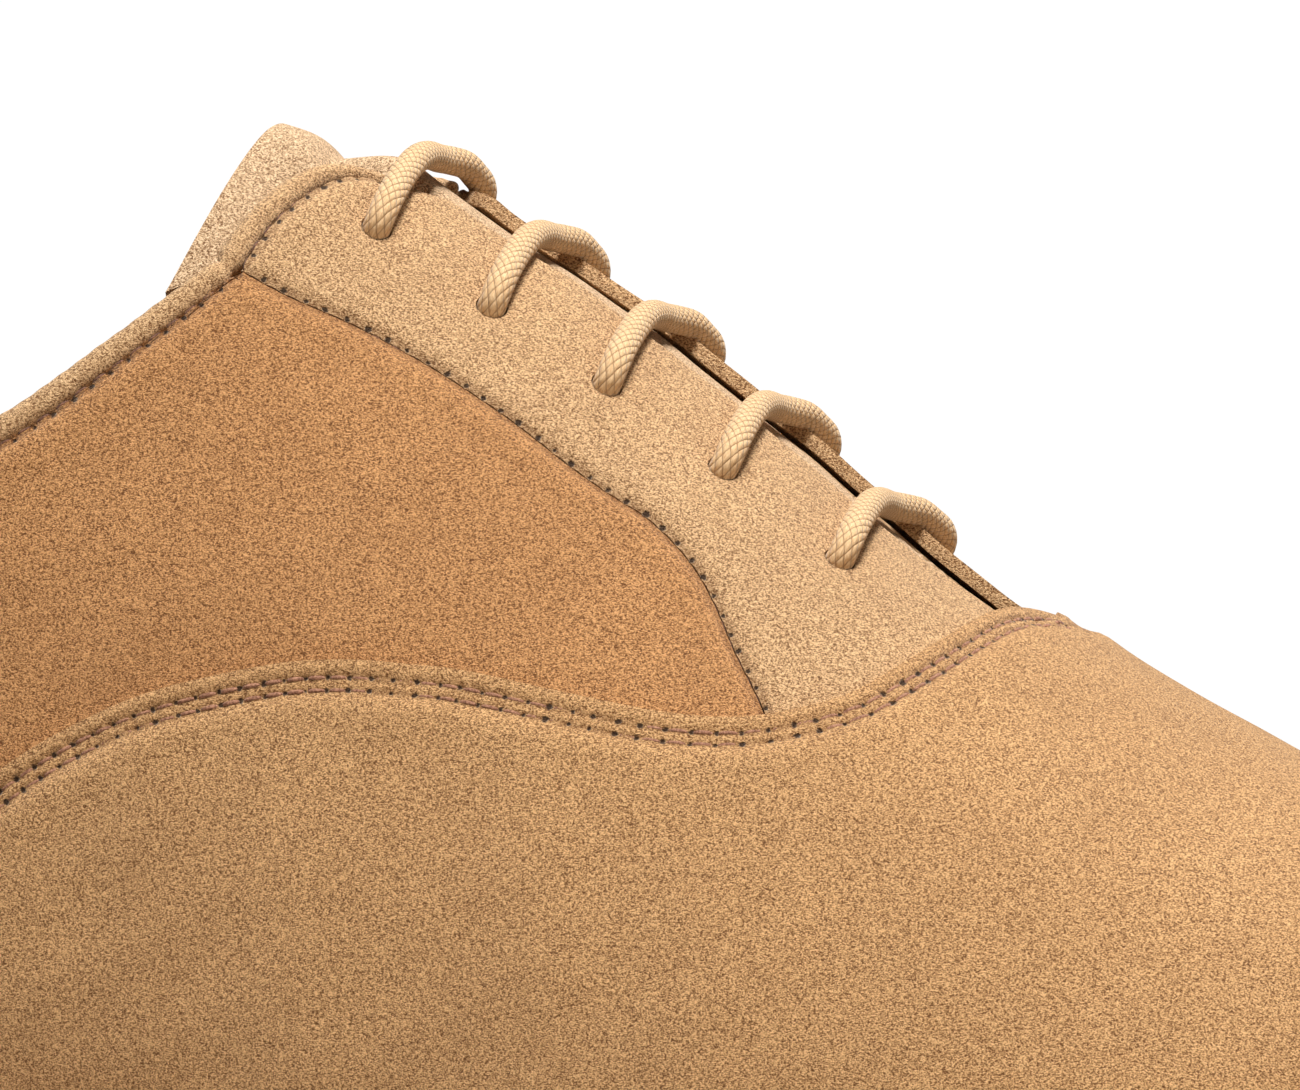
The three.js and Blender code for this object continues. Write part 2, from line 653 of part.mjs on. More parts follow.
// The outer corner of the tip is wider and hangs further back, its end curved like a shallow bow.
const TONGUE_TIP = {
  [OUTER]: { wider: 3.7, setBack: 7.8, bow: 2 },
  [INNER]: { wider: 0, setBack: 3, bow: 1 },
};
function tongueDepth(layer) {
  return (s, t) => {
    const hump = Math.exp(-(((ridgeX(s) + 15.5) / 3.2) ** 2)) * THREE.MathUtils.smoothstep(t, 0.8, 0.95);
    return layer.map((d) => d + 1.8 * hump);
  };
}
function tongueNet(side, margin = 0) {
  return Array.from({ length: TONGUE_ROWS + 1 }, (_, i) => {
    const u = i / TONGUE_ROWS;
    const x = TONGUE_TIP_X + margin + (TONGUE_BASE_X - TONGUE_TIP_X - margin) * u;
    const { wider, setBack, bow } = TONGUE_TIP[side];
    const y = tongueHalfWidth(u) + (i === 0 ? wider : 0) - margin;
    const edge = locate(side, inPlan, [x - setBack * (1 - u), y], [stationAt(x), 0.7]);
    const crest = [stationAt(x), 1];
    return straight(crest, edge, TONGUE_COLUMNS)
      .map(([, t], j) => [crest[0] + (edge[0] - crest[0]) * (j / TONGUE_COLUMNS) ** bow, t])
      .reverse();
  });
}

// ---------------------------------------------------------------------------- eyelets and lace

function eyeletPlaces(side) {
  return Array.from({ length: EYELET_ROWS }, (_, k) => {
    const spot = LACING[side].firstEyelet.map((value, c) => value + EYELET_STEP[c] * k);
    return locate(side, inPlan, spot, [stationAt(spot[0]), 0.75]);
  });
}

const HOLE_SIDES = 10;

// Stands a shape whose axis is +Y on the last, its axis along the normal.
function standOn(geometry, side, [s, t], d) {
  const turn = new THREE.Quaternion().setFromUnitVectors(new THREE.Vector3(0, 1, 0), lastNormal(side, s, t));
  return geometry.applyQuaternion(turn).translate(...offLast(side, s, t, d));
}
function holeCutter(side, place, diameter) {
  return standOn(new THREE.CylinderGeometry(diameter / 2, diameter / 2, 9, HOLE_SIDES), side, place, -1);
}

// A blind eyelet: its barrel lines the hole, its flange is turned out behind the lining.
function eyelet(side, place) {
  const bore = PUNCHED_HOLE / 2;
  const barrel = EYELET_BARREL / 2;
  const flange = EYELET_FLANGE / 2;
  const [back, face, top] = [-3.65, -3.25, -1.65];
  const collar = [[flange, back], [flange, face], [barrel, face]];
  const profile = [[bore, back], ...collar, [barrel, top], [bore, top], [bore, back]];
  const ring = new THREE.LatheGeometry(profile.map(([r, h]) => new THREE.Vector2(r, h)), HOLE_SIDES);
  return standOn(ring, side, place, 0);
}

// One straight bar, from the outer hole to the inner: how far across, and the height off the last.
const BAR = [
  [0, -5.1], [0, -3.2], [0, 0.2], [0.02, 1.1], [0.07, 1.6], [0.16, 1.55], [0.26, 1.5], [0.38, 1], [0.5, 0.7],
];
const RUN_DEPTH = -5.3; // the lace's middle where it runs behind the lining
function bar(row) {
  const [from, to] = BOTH_SIDES.map((side) => eyeletPlaces(side)[row]);
  const half = (side, [s, t], [other]) =>
    BAR.map(([f, h]) => offLast(side, s + (other - s) * f, t + (1 - t) * 2 * f, h));
  const outer = half(OUTER, from, to);
  const inner = half(INNER, to, from).slice(0, -1).reverse();
  return [...outer, ...inner];
}

// Behind the lining from one hole to another on the same side, bowed clear of the hole it passes.
function run(side, from, to, bow) {
  const [a, b] = [eyeletPlaces(side)[from], eyeletPlaces(side)[to]];
  const steps = Math.abs(to - from) === 1 ? 3 : 5;
  return Array.from({ length: steps - 1 }, (_, i) => {
    const u = (i + 1) / steps;
    const [s, t] = straight(a, b, steps)[i + 1];
    const reach = bow * Math.sin(Math.PI * u) ** 0.7;
    return offLast(side, s, t + reach / 80, RUN_DEPTH);
  });
}

function threadedLace() {
  const bars = Array.from({ length: EYELET_ROWS }, (_, row) => bar(row));
  const back = (row) => bars[row].slice().reverse();
  return [
    ...laceTail(OUTER, 1),
    ...bars[1],
    ...run(INNER, 1, 3, 3.6),
    ...back(3),
    ...run(OUTER, 3, 4, 0),
    ...bars[4],
    ...run(INNER, 4, 2, -3.6),
    ...back(2),
    ...run(OUTER, 2, 0, 3.6),
    ...bars[0],
    ...laceTail(INNER, 0).reverse(),
  ];
}

// The last of the threaded stretch, on its way out past the edge of the tongue.
const TAIL_REACH = { [OUTER]: [0.1, 0.09], [INNER]: [0.163, 0.195] };
function laceTail(side, row) {
  const [s, t] = eyeletPlaces(side)[row];
  const [back, down] = TAIL_REACH[side];
  return [offLast(side, s - back, t - down, RUN_DEPTH), offLast(side, s - back * 0.4, t - down / 2, RUN_DEPTH)];
}

// The free ends, tucked down past the tongue's edges and laid along the sock.
const LACE_ENDS = {
  lateral: [
    [-2.95, -17.75, 84.65], [-4.6, -20.2, 81.3], [-6.6, -21.9, 76.5], [-9, -23, 70], [-11.5, -23.3, 62],
    [-14, -22.8, 54], [-17, -21.4, 46], [-20.5, -19.2, 38.5], [-25, -16.2, 31.6], [-31, -12.6, 27],
    [-38, -9, 26.2], [-46, -6, 27.3], [-55, -4, 28.8], [-64, -3.4, 30.2], [-73, -4.5, 31.3],
    [-82, -7, 32.1], [-91, -10, 32.8],
  ],
  medial: [
    [-13.45, 17.3, 90.7], [-15.2, 19, 87.2], [-17.4, 20.2, 82], [-19.6, 21.2, 75.5], [-22, 21.6, 67.5],
    [-24, 21.3, 59.5], [-25.5, 20.2, 51.5], [-26, 18, 44], [-25, 15.2, 37], [-22, 12.4, 30.5],
    [-16.5, 10.2, 25.3], [-9.5, 8.6, 21.5], [-1.5, 7.6, 18.9], [7, 7, 17.1], [16, 6.5, 15.7],
    [25, 6, 14.8],
  ],
};
const AGLET = { length: 20, diameter: 2.3, gap: 0.3 };
const laceEnd = (name) => LACE_ENDS[name].map((p) => new THREE.Vector3(...p));

// The stiff tip, in line with the last stretch of its lace.
function aglet(name) {
  const [before, end] = laceEnd(name).slice(-2);
  const ahead = end.clone().sub(before).normalize();
  const profile = [[0, 0], [0.9, 0], [1, 0.6], [1, 19], [0.7, AGLET.length], [0, AGLET.length]];
  const stretch = profile.map(([r, h]) => new THREE.Vector2((r * AGLET.diameter) / 2, h + AGLET.gap));
  const turn = new THREE.Quaternion().setFromUnitVectors(new THREE.Vector3(0, 1, 0), ahead);
  return new THREE.LatheGeometry(stretch, 8).applyQuaternion(turn).translate(...end);
}

// ---------------------------------------------------------------------------- the bottom

const wholeFoot = () => stations(0, LAST_STATION, 0.7);
const heelStations = () => stations(0, stationAt(HEEL_BREAST_X, 0), 0.8);

function welt() {
  const ring = (side) => {
    const rows = wholeFoot().map((s) => {
      const edges = side === OUTER ? [SOLE_EDGE, -6.5] : [-6.5, SOLE_EDGE];
      return edges.map((reach) => {
        const p = edgePoint(side, s, reach);
        const [out, back] = [p, p.clone()];
        out.z = fromFeather(WELT[1])(p.x);
        back.z = fromFeather(WELT[0])(p.x);
        return { out, back };
      });
    });
    return { rows, flip: false };
  };
  return leaf(BOTH_SIDES.map(ring));
}

function shank() {
  const rows = Array.from({ length: 11 }, (_, i) => {
    const x = -98 + 9 * i;
    return [-7, 7].map((y) => ({
      out: new THREE.Vector3(x, y - 2.5, featherHeight(x) + SHANK[1]),
      back: new THREE.Vector3(x, y - 2.5, featherHeight(x) + SHANK[0]),
    }));
  });
  return leaf([{ rows, flip: false }]);
}

const NAIL_TIP = 12; // how high above the ground the heel nails end
const nailHole = ([x, y]) => new THREE.CylinderGeometry(1.2, 1.2, 60, 8).rotateX(Math.PI / 2).translate(x, y, 20);
function heelNail([x, y]) {
  const top = featherHeight(x) + OUTSOLE[1] + 0.4;
  const profile = [[0, NAIL_TIP], [0.8, NAIL_TIP + 2], [0.8, top], [2, top], [2, top + 0.7], [0, top + 0.7]];
  return new THREE.LatheGeometry(profile.map(([r, h]) => new THREE.Vector2(r, h)), 8)
    .rotateX(Math.PI / 2)
    .translate(x, y, 0);
}

const layerOf = (range, reach, rows = wholeFoot()) =>
  bottomLayer(rows, reach, fromFeather(range[0]), fromFeather(range[1]));

// ---------------------------------------------------------------------------- the shoe

const FINISH = {
  suede: [0xd2a66c, 0.95, 0],
  lining: [0xc9a67e, 0.7, 0],
  fabric: [0xd8cfbd, 0.9, 0],
  board: [0xb98d5f, 0.8, 0],
  leather: [0xa8703f, 0.6, 0],
  cork: [0xb98a55, 0.95, 0],
  steel: [0x9aa0a6, 0.35, 1],
  brass: [0xb99a4f, 0.35, 1],
  rubber: [0x2b2521, 0.8, 0],
  lace: [0xd6ad82, 0.9, 0],
  tip: [0xc9a070, 0.4, 0],
};
const shoe = new THREE.Group();

function add(name, finish, geometry, group = shoe) {
  const [color, roughness, metalness] = FINISH[finish];
  const mesh = new THREE.Mesh(geometry, new THREE.MeshStandardMaterial({ color, roughness, metalness }));
  mesh.name = name;
  group.add(mesh);
}

for (const [name, side] of [["lateral", OUTER], ["medial", INNER]]) {
  add(`${name}_quarter`, "suede", quarter(side));
  add(`${name}_facing`, "suede", facing(side));
  add(`${name}_quarter_lining`, "lining", quarterLining(side));
  eyeletPlaces(side).forEach((place, k) => add(`eyelet_${name}_${k + 1}`, "brass", eyelet(side, place)));
}
add("vamp", "suede", hood(vampNet, VAMP));
add("toe_cap", "suede", hood((side) => capNet(side, CAP_SEAM, 0.05), TOE_CAP));
add("toe_puff", "board", hood((side) => capNet(side, PUFF_BACK, 0.03), PUFF));
add("vamp_doubler", "fabric", hood(underLayerNet, DOUBLER));
add("vamp_lining", "lining", hood(underLayerNet, VAMP_LINING));
add("heel_counter", "board", hood(counterNet, COUNTER));
add("back_strip", "suede", hood(backStripNet, VAMP));
add("rolled_edge", "suede", rolledEdge());
add("welt", "leather", welt());
add("insole", "board", layerOf(INSOLE, -5.6));
add("sock_liner", "lining", layerOf(SOCK, -6));
add("cork_filler", "cork", layerOf(FILLER, -7, stations(stationAt(2, 0), LAST_STATION, 0.7)));
add("shank", "steel", shank());
const nailHoles = NAIL_SPOTS.map(nailHole);
add("outsole", "leather", cutAway(layerOf(OUTSOLE, SOLE_EDGE), nailHoles));
const topLift = bottomLayer(heelStations(), SOLE_EDGE - 0.8, atHeight(14.9), fromFeather(OUTSOLE[0] - 0.3));
add("heel_lift_1", "leather", cutAway(topLift, nailHoles));
HEEL_LIFTS.forEach(([low, high], i) => {
  const lift = bottomLayer(heelStations(), SOLE_EDGE - 1.2 - 0.3 * i, atHeight(low), atHeight(high));
  add(`heel_lift_${3 - i}`, "leather", high > NAIL_TIP ? cutAway(lift, nailHoles) : lift);
});
add("heel_top_piece", "rubber", bottomLayer(heelStations(), SOLE_EDGE - 1.4, atHeight(0), atHeight(TOP_PIECE_HEIGHT)));
NAIL_SPOTS.forEach((spot, k) => add(`heel_nail_${k + 1}`, "steel", heelNail(spot)));
add("lace_threaded", "lace", cord(threadedLace(), LACE_DIAMETER));
for (const name of Object.keys(LACE_ENDS)) {
  add(`lace_end_${name}`, "lace", cord(laceEnd(name), LACE_DIAMETER));
  add(`aglet_${name}`, "tip", aglet(name));
}

const tongue = new THREE.Group();
shoe.add(tongue);
add("tongue", "suede", hood((side) => tongueNet(side), tongueDepth(TONGUE)), tongue);
add("tongue_lining", "lining", hood((side) => tongueNet(side, 1), tongueDepth(TONGUE_LINING)), tongue);

export default shoe;
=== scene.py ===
"""The looks of a right-foot cap-toe shoe in napped suede, laced with straight bars."""

import math

import bmesh
import bpy
import numpy as np
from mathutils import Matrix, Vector


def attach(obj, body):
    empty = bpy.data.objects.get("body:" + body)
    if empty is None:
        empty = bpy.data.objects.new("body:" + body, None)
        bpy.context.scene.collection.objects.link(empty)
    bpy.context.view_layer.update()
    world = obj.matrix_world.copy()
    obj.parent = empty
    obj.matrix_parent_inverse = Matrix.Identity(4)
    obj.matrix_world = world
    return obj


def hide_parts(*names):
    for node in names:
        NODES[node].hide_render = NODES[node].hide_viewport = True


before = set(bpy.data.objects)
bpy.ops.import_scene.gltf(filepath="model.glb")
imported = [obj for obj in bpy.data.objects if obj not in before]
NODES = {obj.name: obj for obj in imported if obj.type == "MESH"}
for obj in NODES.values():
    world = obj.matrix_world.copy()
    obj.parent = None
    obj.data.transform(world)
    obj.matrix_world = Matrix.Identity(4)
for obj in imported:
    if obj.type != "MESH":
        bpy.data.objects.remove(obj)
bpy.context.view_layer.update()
MM = 0.001

# ------------------------------------------------------------------ camera

CAMERA_TURN = math.radians(14)
CAMERA_DISTANCE = 1.0
CAMERA_HEIGHT = 0.030
AIM = Vector((0.015, -0.012, 0.0717))
LENS = 312.9

rise = (AIM.z - CAMERA_HEIGHT) / CAMERA_DISTANCE
level_reach = math.sqrt(1 - rise * rise)
toward_camera = Vector(
    (math.sin(CAMERA_TURN) * level_reach, -math.cos(CAMERA_TURN) * level_reach, -rise)
)
camera_data = bpy.data.cameras.new("camera")
camera_data.lens = LENS
camera_data.sensor_width = 36
camera = bpy.data.objects.new("camera", camera_data)
camera.location = AIM + toward_camera * CAMERA_DISTANCE
camera.rotation_euler = (-toward_camera).to_track_quat("-Z", "Y").to_euler()
bpy.context.scene.collection.objects.link(camera)
bpy.context.scene.camera = camera
bpy.context.scene.view_settings.view_transform = "Standard"

# ------------------------------------------------------------------ the last, in millimetres

OUTER, INNER = -1, 1
BOTH_SIDES = ((OUTER, "lateral"), (INNER, "medial"))
# Foot of the wall on the outer and the inner side (x, y), ridge (x, y), bulge, its height, handle, turn.
STATIONS = np.array([
    (-144, -1, -144, -1, -112, -1, 7, 24, 22, 90),
    (-136.5, -18.5, -136.5, 16.5, -108, -1, 6, 26, 24, 62),
    (-118, -28.5, -118, 26.5, -96, -1, 4.5, 30, 28, 28),
    (-92, -31.5, -92, 29, -76, -0.5, 4, 33, 30, 8),
    (-62, -31, -62, 26, -52, 0, 5, 36, 30, 0),
    (-32, -32.5, -32, 25.5, -27, 0.5, 7, 35, 29, 0),
    (-2, -37, -2, 31, -1, 1, 7, 33, 27, 0),
    (28, -42, 28, 38.5, 24, 1.5, 6, 29, 26, 0),
    (57, -43.5, 57, 43, 48, 2, 5, 24, 26, 0),
    (84, -38.5, 84, 41.5, 71, 2.5, 4.5, 19, 24, 4),
    (110, -28.5, 110, 35.5, 92, 3.5, 4, 16, 22, 20),
    (134, -14, 134.5, 23.5, 108, 4.5, 4, 15, 19, 55),
    (143.5, 5, 143.5, 5, 117, 5, 4, 14, 17, 90),
])
LAST = len(STATIONS) - 1
RIDGE_HEIGHT = [
    (-112, 166), (-90, 159), (-68, 149), (-45, 135), (-22, 118.3), (-4, 104.7), (8, 96.6), (20, 87.4),
    (32, 77.2), (43, 68.2), (52, 62.2), (62, 56), (71, 51.2), (84, 46.2), (97, 42.4), (108, 39.6),
    (117, 37.4),
]
FEATHER_HEIGHT = [
    (-150, 30.5), (-110, 29), (-80, 27), (-50, 23.2), (-20, 17), (10, 11.4), (38, 8.5),
    (70, 8.5), (86, 9.3), (105, 11.2), (125, 14.2), (150, 19.6),
]
TREAD_HEIGHT = 8.5


def smooth_curve(points):
    x, y = np.array(points, float).T
    before, after = np.maximum(np.arange(len(x)) - 1, 0), np.minimum(np.arange(len(x)) + 1, len(x) - 1)
    slope = (y[after] - y[before]) / (x[after] - x[before])

    def curve(at):
        k = np.clip(np.searchsorted(x, at, side="right") - 1, 0, len(x) - 2)
        h = x[k + 1] - x[k]
        u = (at - x[k]) / h
        v = 1 - u
        return (
            y[k] * (1 + 2 * u) * v * v + slope[k] * h * u * v * v
            + y[k + 1] * u * u * (3 - 2 * u) - slope[k + 1] * h * u * u * v
        )

    return curve


ridge_height = smooth_curve(RIDGE_HEIGHT)
feather_curve = smooth_curve(FEATHER_HEIGHT)


def feather_height(x):
    return np.maximum(feather_curve(np.clip(x, -150, 150)), TREAD_HEIGHT)


def loop_column(outer, inner):
    """One column of the stations round the whole loop: heel, outer side, toe, inner side."""
    loop = np.concatenate([STATIONS[:, outer], STATIONS[-2:0:-1, inner]])
    count = len(loop)

    def value(q):
        k = np.floor(q).astype(int)
        u = q - k
        p0, p1, p2, p3 = (loop[(k + i) % count] for i in (-1, 0, 1, 2))
        bend = 2 * p0 - 5 * p1 + 4 * p2 - p3
        return 0.5 * (2 * p1 + (p2 - p0) * u + bend * u * u + (3 * p1 - p0 - 3 * p2 + p3) * u ** 3)

    return value


foot_x, foot_y = loop_column(0, 2), loop_column(1, 3)
ridge_x, ridge_y, bulge, bulge_height, handle = (loop_column(c, c) for c in range(4, 9))


def unit(v):
    return v / np.maximum(np.linalg.norm(v, axis=-1, keepdims=True), 1e-12)


def loop_place(side, s):
    return np.asarray(s, float) if side == OUTER else 2 * LAST - np.asarray(s, float)


def foot_normal(side, s):
    q = loop_place(side, s)
    e = 1e-3
    dx, dy = foot_x(q + e) - foot_x(q - e), foot_y(q + e) - foot_y(q - e)
    return unit(np.stack([dy, -dx, 0 * dx], -1))


def last(side, s, t):
    """Points of the last: s runs from the heel 0 to the toe 12, t from the feather 0 to the ridge 1."""
    s, t = np.broadcast_arrays(np.asarray(s, float), np.asarray(t, float))
    q = loop_place(side, s)
    foot = np.stack([foot_x(q), foot_y(q), feather_height(foot_x(q))], -1)
    low = foot + foot_normal(side, s) * bulge(q)[..., None]
    low[..., 2] += bulge_height(q)
    x = ridge_x(q)
    top = np.stack([x, ridge_y(q), ridge_height(x)], -1)
    steepness = ridge_height(x + 0.5) - ridge_height(x - 0.5)
    turn = np.radians(np.interp(s, np.arange(LAST + 1), STATIONS[:, 9]))
    along = np.where(s > LAST / 2, 1, -1) * np.sin(turn) * handle(q)
    high = top + np.stack([along, side * np.cos(turn) * handle(q), steepness * along], -1)
    t = t[..., None]
    v = 1 - t
    return foot * v ** 3 + 3 * low * t * v * v + 3 * high * t * t * v + top * t ** 3


def normal(side, s, t):
    s, t = np.broadcast_arrays(np.asarray(s, float), np.asarray(t, float))
    e = 1e-3
    s0, s1 = np.maximum(s - e, 0), np.minimum(s + e, LAST)
    along_s = last(side, s1, t) - last(side, s0, t)
    near = np.where(s < 1, e, LAST - e)
    across = (last(side, near, t) - last(-side, near, t)) * np.where(s < 1, 1, -1)[..., None]
    along_s = np.where(((s0 == 0) | (s1 == LAST))[..., None], across, along_s)
    along_t = last(side, s, t + e) - last(side, s, np.maximum(t - e, 0))
    out = unit(-side * np.cross(along_s, along_t))
    x = ridge_x(s)
    crest = unit(np.stack([ridge_height(x - 0.5) - ridge_height(x + 0.5), 0 * x, np.ones_like(x)], -1))
    return np.where((t > 0.9985)[..., None], crest, out)


def off_last(side, s, t, d):
    return last(side, s, t) + normal(side, s, t) * np.asarray(d, float)[..., None]


# ------------------------------------------------------------------ places on the last


def side_view(side, s, t):
    return last(side, s, t)[..., [0, 2]]


def plan_view(side, s, t):
    p = last(side, s, t)
    return np.stack([p[..., 0], side * (p[..., 1] - ridge_y(np.asarray(s, float)))], -1)


def locate(side, measure, wanted, start, rounds=24):
    """The places [s, t] whose points measure the wanted pairs."""
    s, t = np.array(start, float).reshape(-1, 2).T
    wanted = np.array(wanted, float).reshape(-1, 2)
    e = 1e-4
    for _ in range(rounds):
        here = measure(side, s, t)
        ds = (measure(side, s + e, t) - here) / e
        dt = (here - measure(side, s, t - e)) / e
        det = ds[:, 0] * dt[:, 1] - ds[:, 1] * dt[:, 0]
        ra, rb = (wanted - here).T
        s = np.clip(s + np.clip((ra * dt[:, 1] - rb * dt[:, 0]) / det, -0.4, 0.4), 0.001, LAST - 0.001)
        t = np.clip(t + np.clip((ds[:, 0] * rb - ds[:, 1] * ra) / det, -0.2, 0.2), 0.001, 0.999)
    return np.stack([s, t], -1)


def station_at(x, column=4):
    """The station whose ridge (or foot, with column 0) stands at x."""
    k = max(int(np.argmax(STATIONS[:, column] > x)) - 1, 0)
    a, b = STATIONS[k, column], STATIONS[k + 1, column]
    s = k + (x - a) / (b - a)
    value = ridge_x if column == 4 else foot_x
    e = 1e-4
    for _ in range(8):
        slope = (value(np.array(s + e)) - value(np.array(s - e))) / (2 * e)
        s -= float((value(np.array(s)) - x) / slope)
    return s


def arc_length(points):
    return np.concatenate([[0], np.cumsum(np.linalg.norm(np.diff(points, axis=0), axis=1))])


def ways_along(points):
    """The way forward at each point of a line."""
    first, final = points[1:2] - points[:1], points[-1:] - points[-2:-1]
    return unit(np.concatenate([first, points[2:] - points[:-2], final]))


def respaced(run, at):
    """A run of places or points, read at fractions of its own count."""
    place = np.asarray(at, float) * (len(run) - 1)
    return np.stack([np.interp(place, np.arange(len(run)), column) for column in np.asarray(run).T], -1)


def spline_through(points, at):
    """A smooth curve through points of a view, read at fractions of its way."""
    p = np.array(points, float)
    place = np.asarray(at, float) * (len(p) - 1)
    k = np.minimum(place.astype(int), len(p) - 1)
    u = (place - k)[:, None]
    p0, p1 = p[np.maximum(k - 1, 0)], p[k]
    p2, p3 = p[np.minimum(k + 1, len(p) - 1)], p[np.minimum(k + 2, len(p) - 1)]
    v0, v1 = (p2 - p0) / 2, (p3 - p1) / 2
    return (2 * p1 - 2 * p2 + v0 + v1) * u ** 3 + (3 * p2 - 3 * p1 - 2 * v0 - v1) * u * u + v0 * u + p1


def seam(side, points, steps, measure=side_view, trim=0, start=None):
    """Places along a seam drawn through points of a view, evenly spaced on the last."""
    near = np.array(start if start is not None else [station_at(points[0][0], 0), 0.5], float)
    knots = []
    for point in points:
        near = locate(side, measure, point, near, 30)[0]
        knots.append(near)
    at = np.linspace(0, 1, 24 * len(points) + 1)
    places = locate(side, measure, spline_through(points, at), respaced(knots, at), 10)
    walked = arc_length(last(side, *places.T))
    goal = np.linspace(trim, walked[-1], steps + 1)
    return np.stack([np.interp(goal, walked, column) for column in places.T], -1)


def level(start, end, t, steps):
    return np.stack([np.linspace(start, end, steps + 1), np.full(steps + 1, float(t))], -1)


def straight(a, b, steps):
    return np.linspace(np.asarray(a, float), np.asarray(b, float), steps + 1)


def joined(*runs):
    return np.concatenate([run if i == 0 else run[1:] for i, run in enumerate(runs)])


def nearest(side, aim, start):
    s, t = np.array(start, float).T
    e = 1e-3
    for _ in range(10):
        p = last(side, s, t)
        ds, dt = (last(side, s + e, t) - p) / e, (p - last(side, s, t - e)) / e
        r = aim - p
        ss, st, tt = (ds * ds).sum(-1), (ds * dt).sum(-1), (dt * dt).sum(-1)
        det = ss * tt - st * st
        rs, rt = (r * ds).sum(-1), (r * dt).sum(-1)
        s = np.clip(s + np.clip((rs * tt - rt * st) / det, -0.3, 0.3), 0.001, LAST - 0.001)
        t = np.clip(t + np.clip((rt * ss - rs * st) / det, -0.2, 0.2), 0, 1)
    return np.stack([s, t], -1)


def shifted(side, run, d):
    """A run moved across itself by d mm, to the left of its way forward on the outer side."""
    points = last(side, *run.T)
    aim = points - side * d * np.cross(normal(side, *run.T), ways_along(points))
    return nearest(side, aim, run)


def net(lower, upper, across, start=None):
    """A net of places between two edges, from start or a straight line. Across: fractions of the way up."""
    u = np.linspace(0, 1, len(lower))[:, None, None]
    v = np.asarray(across, float)[None, :, None]
    first = respaced(start if start is not None else [lower[0], upper[0]], across)[None]
    final = respaced([lower[-1], upper[-1]], across)[None]
    low, high = lower[:, None], upper[:, None]
    corners = (1 - u) * ((1 - v) * lower[0] + v * upper[0]) + u * ((1 - v) * lower[-1] + v * upper[-1])
    return (1 - v) * low + v * high + (1 - u) * first + u * final - corners


def closer(count, start=1.0, end=1.0):
    """Fractions from 0 to 1 whose spacing goes from start to end times as wide."""
    widths = np.interp(np.linspace(0, 1, count), [0, 1], [start, end])
    walked = np.concatenate([[0], np.cumsum(widths)])
    return walked / walked[-1]


# ------------------------------------------------------------------ seams

TOPLINE = [
    (-142.5, 90), (-128, 87.5), (-110, 83.5), (-92, 79.8), (-72, 77.2), (-56, 78.2), (-46, 80.6),
    (-39.5, 83.4), (-31, 89.6), (-25.4, 94.2), (-21.8, 97.4),
]
FACING_SEAM = [
    (-21.8, 97.4), (-15, 93.7), (-6.1, 89.6), (4, 83.3), (13.4, 76.5), (18.2, 73.4), (22, 69.7), (24.6, 66.1),
    (27, 61.7), (29.2, 58.1), (30.4, 55.6), (31.6, 50.5), (32.5, 46),
]
# the inner facing reaches closer to the ridge than the outer one
FACING_TOP = {
    OUTER: [(-20.1, 21.5), (-17, 17.3), (-14.4, 13.8), (-12, 11.4), (-8.8, 9.1)],
    INNER: [(-20.1, 21.5), (-17, 17.3), (-14.2, 13.2), (-11.2, 9.3), (-8.2, 5.6)],
}
VAMP_EDGE = [
    (-74, 26.6), (-62, 33.5), (-50, 42.3), (-38.2, 51.3), (-30, 55.9), (-22.4, 58.6), (-13, 60.4), (-7, 60.7),
    (-1, 60.2), (4, 59.6), (12, 57.8), (20, 56), (26.2, 55.3), (31, 55.5), (36.5, 57), (40, 59.4), (42.8, 62),
    (44.8, 64.2),
]
UNDER_VAMP = [
    (-66, 26), (-52, 33), (-40, 40.5), (-28, 46.5), (-14, 50), (0, 49.8), (14, 47.6), (24, 46.2), (32.5, 46),
]
VAMP_CREST_X = 48.6
CAP_SEAM = (76.4, 86)
VAMP_FRONT = (87, 96)
THROAT = {OUTER: ((-5.6, 8.9), (52.4, 8.5)), INNER: ((-5.6, 5.4), (52.4, 5.0))}
FIRST_EYELET = {OUTER: (-9, 16.6), INNER: (-7, 10.2)}
EYELET_STEP = (10.6, 0.4)
TOPLINE_STEPS, FACING_STEPS, TOP_STEPS, EDGE_STEPS, CREST_STEPS = 220, 200, 60, 270, 12
UPPER_FOOT = 0.012
SETBACK = 2.7
SEAM_GAP = 0.16


class Seams:
    def __init__(self, side):
        self.topline = seam(side, TOPLINE, TOPLINE_STEPS, start=[0.2, 0.5])
        self.topline[0, 0] = 0
        self.corner = self.topline[-1]
        self.facing = seam(side, FACING_SEAM, FACING_STEPS, start=self.corner, trim=SETBACK * 1.1)
        at = np.linspace(0, 1, FACING_STEPS + 1)
        (x0, g0), (x1, g1) = THROAT[side]
        wanted = np.stack([x0 + (x1 - x0) * at, g0 + (g1 - g0) * at], -1)
        near = np.interp(wanted[:, 0], STATIONS[:, 4], np.arange(LAST + 1))
        self.throat = locate(side, plan_view, wanted, np.stack([near, np.full(len(at), 0.9)], -1))
        top = [tuple(plan_view(side, *self.corner)), *FACING_TOP[side]]
        self.top = seam(side, top, TOP_STEPS, plan_view, start=self.corner)
        self.waist = station_at(UNDER_VAMP[0][0], 0)
        self.under = seam(side, UNDER_VAMP, FACING_STEPS, start=[self.waist, 0.02])
        self.under[0] = self.waist, 0
        self.tail = station_at(VAMP_EDGE[0][0], 0)
        rise = seam(side, VAMP_EDGE, EDGE_STEPS, start=[self.tail, 0.02])
        rise[0] = self.tail, 0
        crest = [station_at(VAMP_CREST_X), 1]
        self.vamp = joined(rise, straight(rise[-1], crest, CREST_STEPS))


SEAMS = {side: Seams(side) for side, _ in BOTH_SIDES}

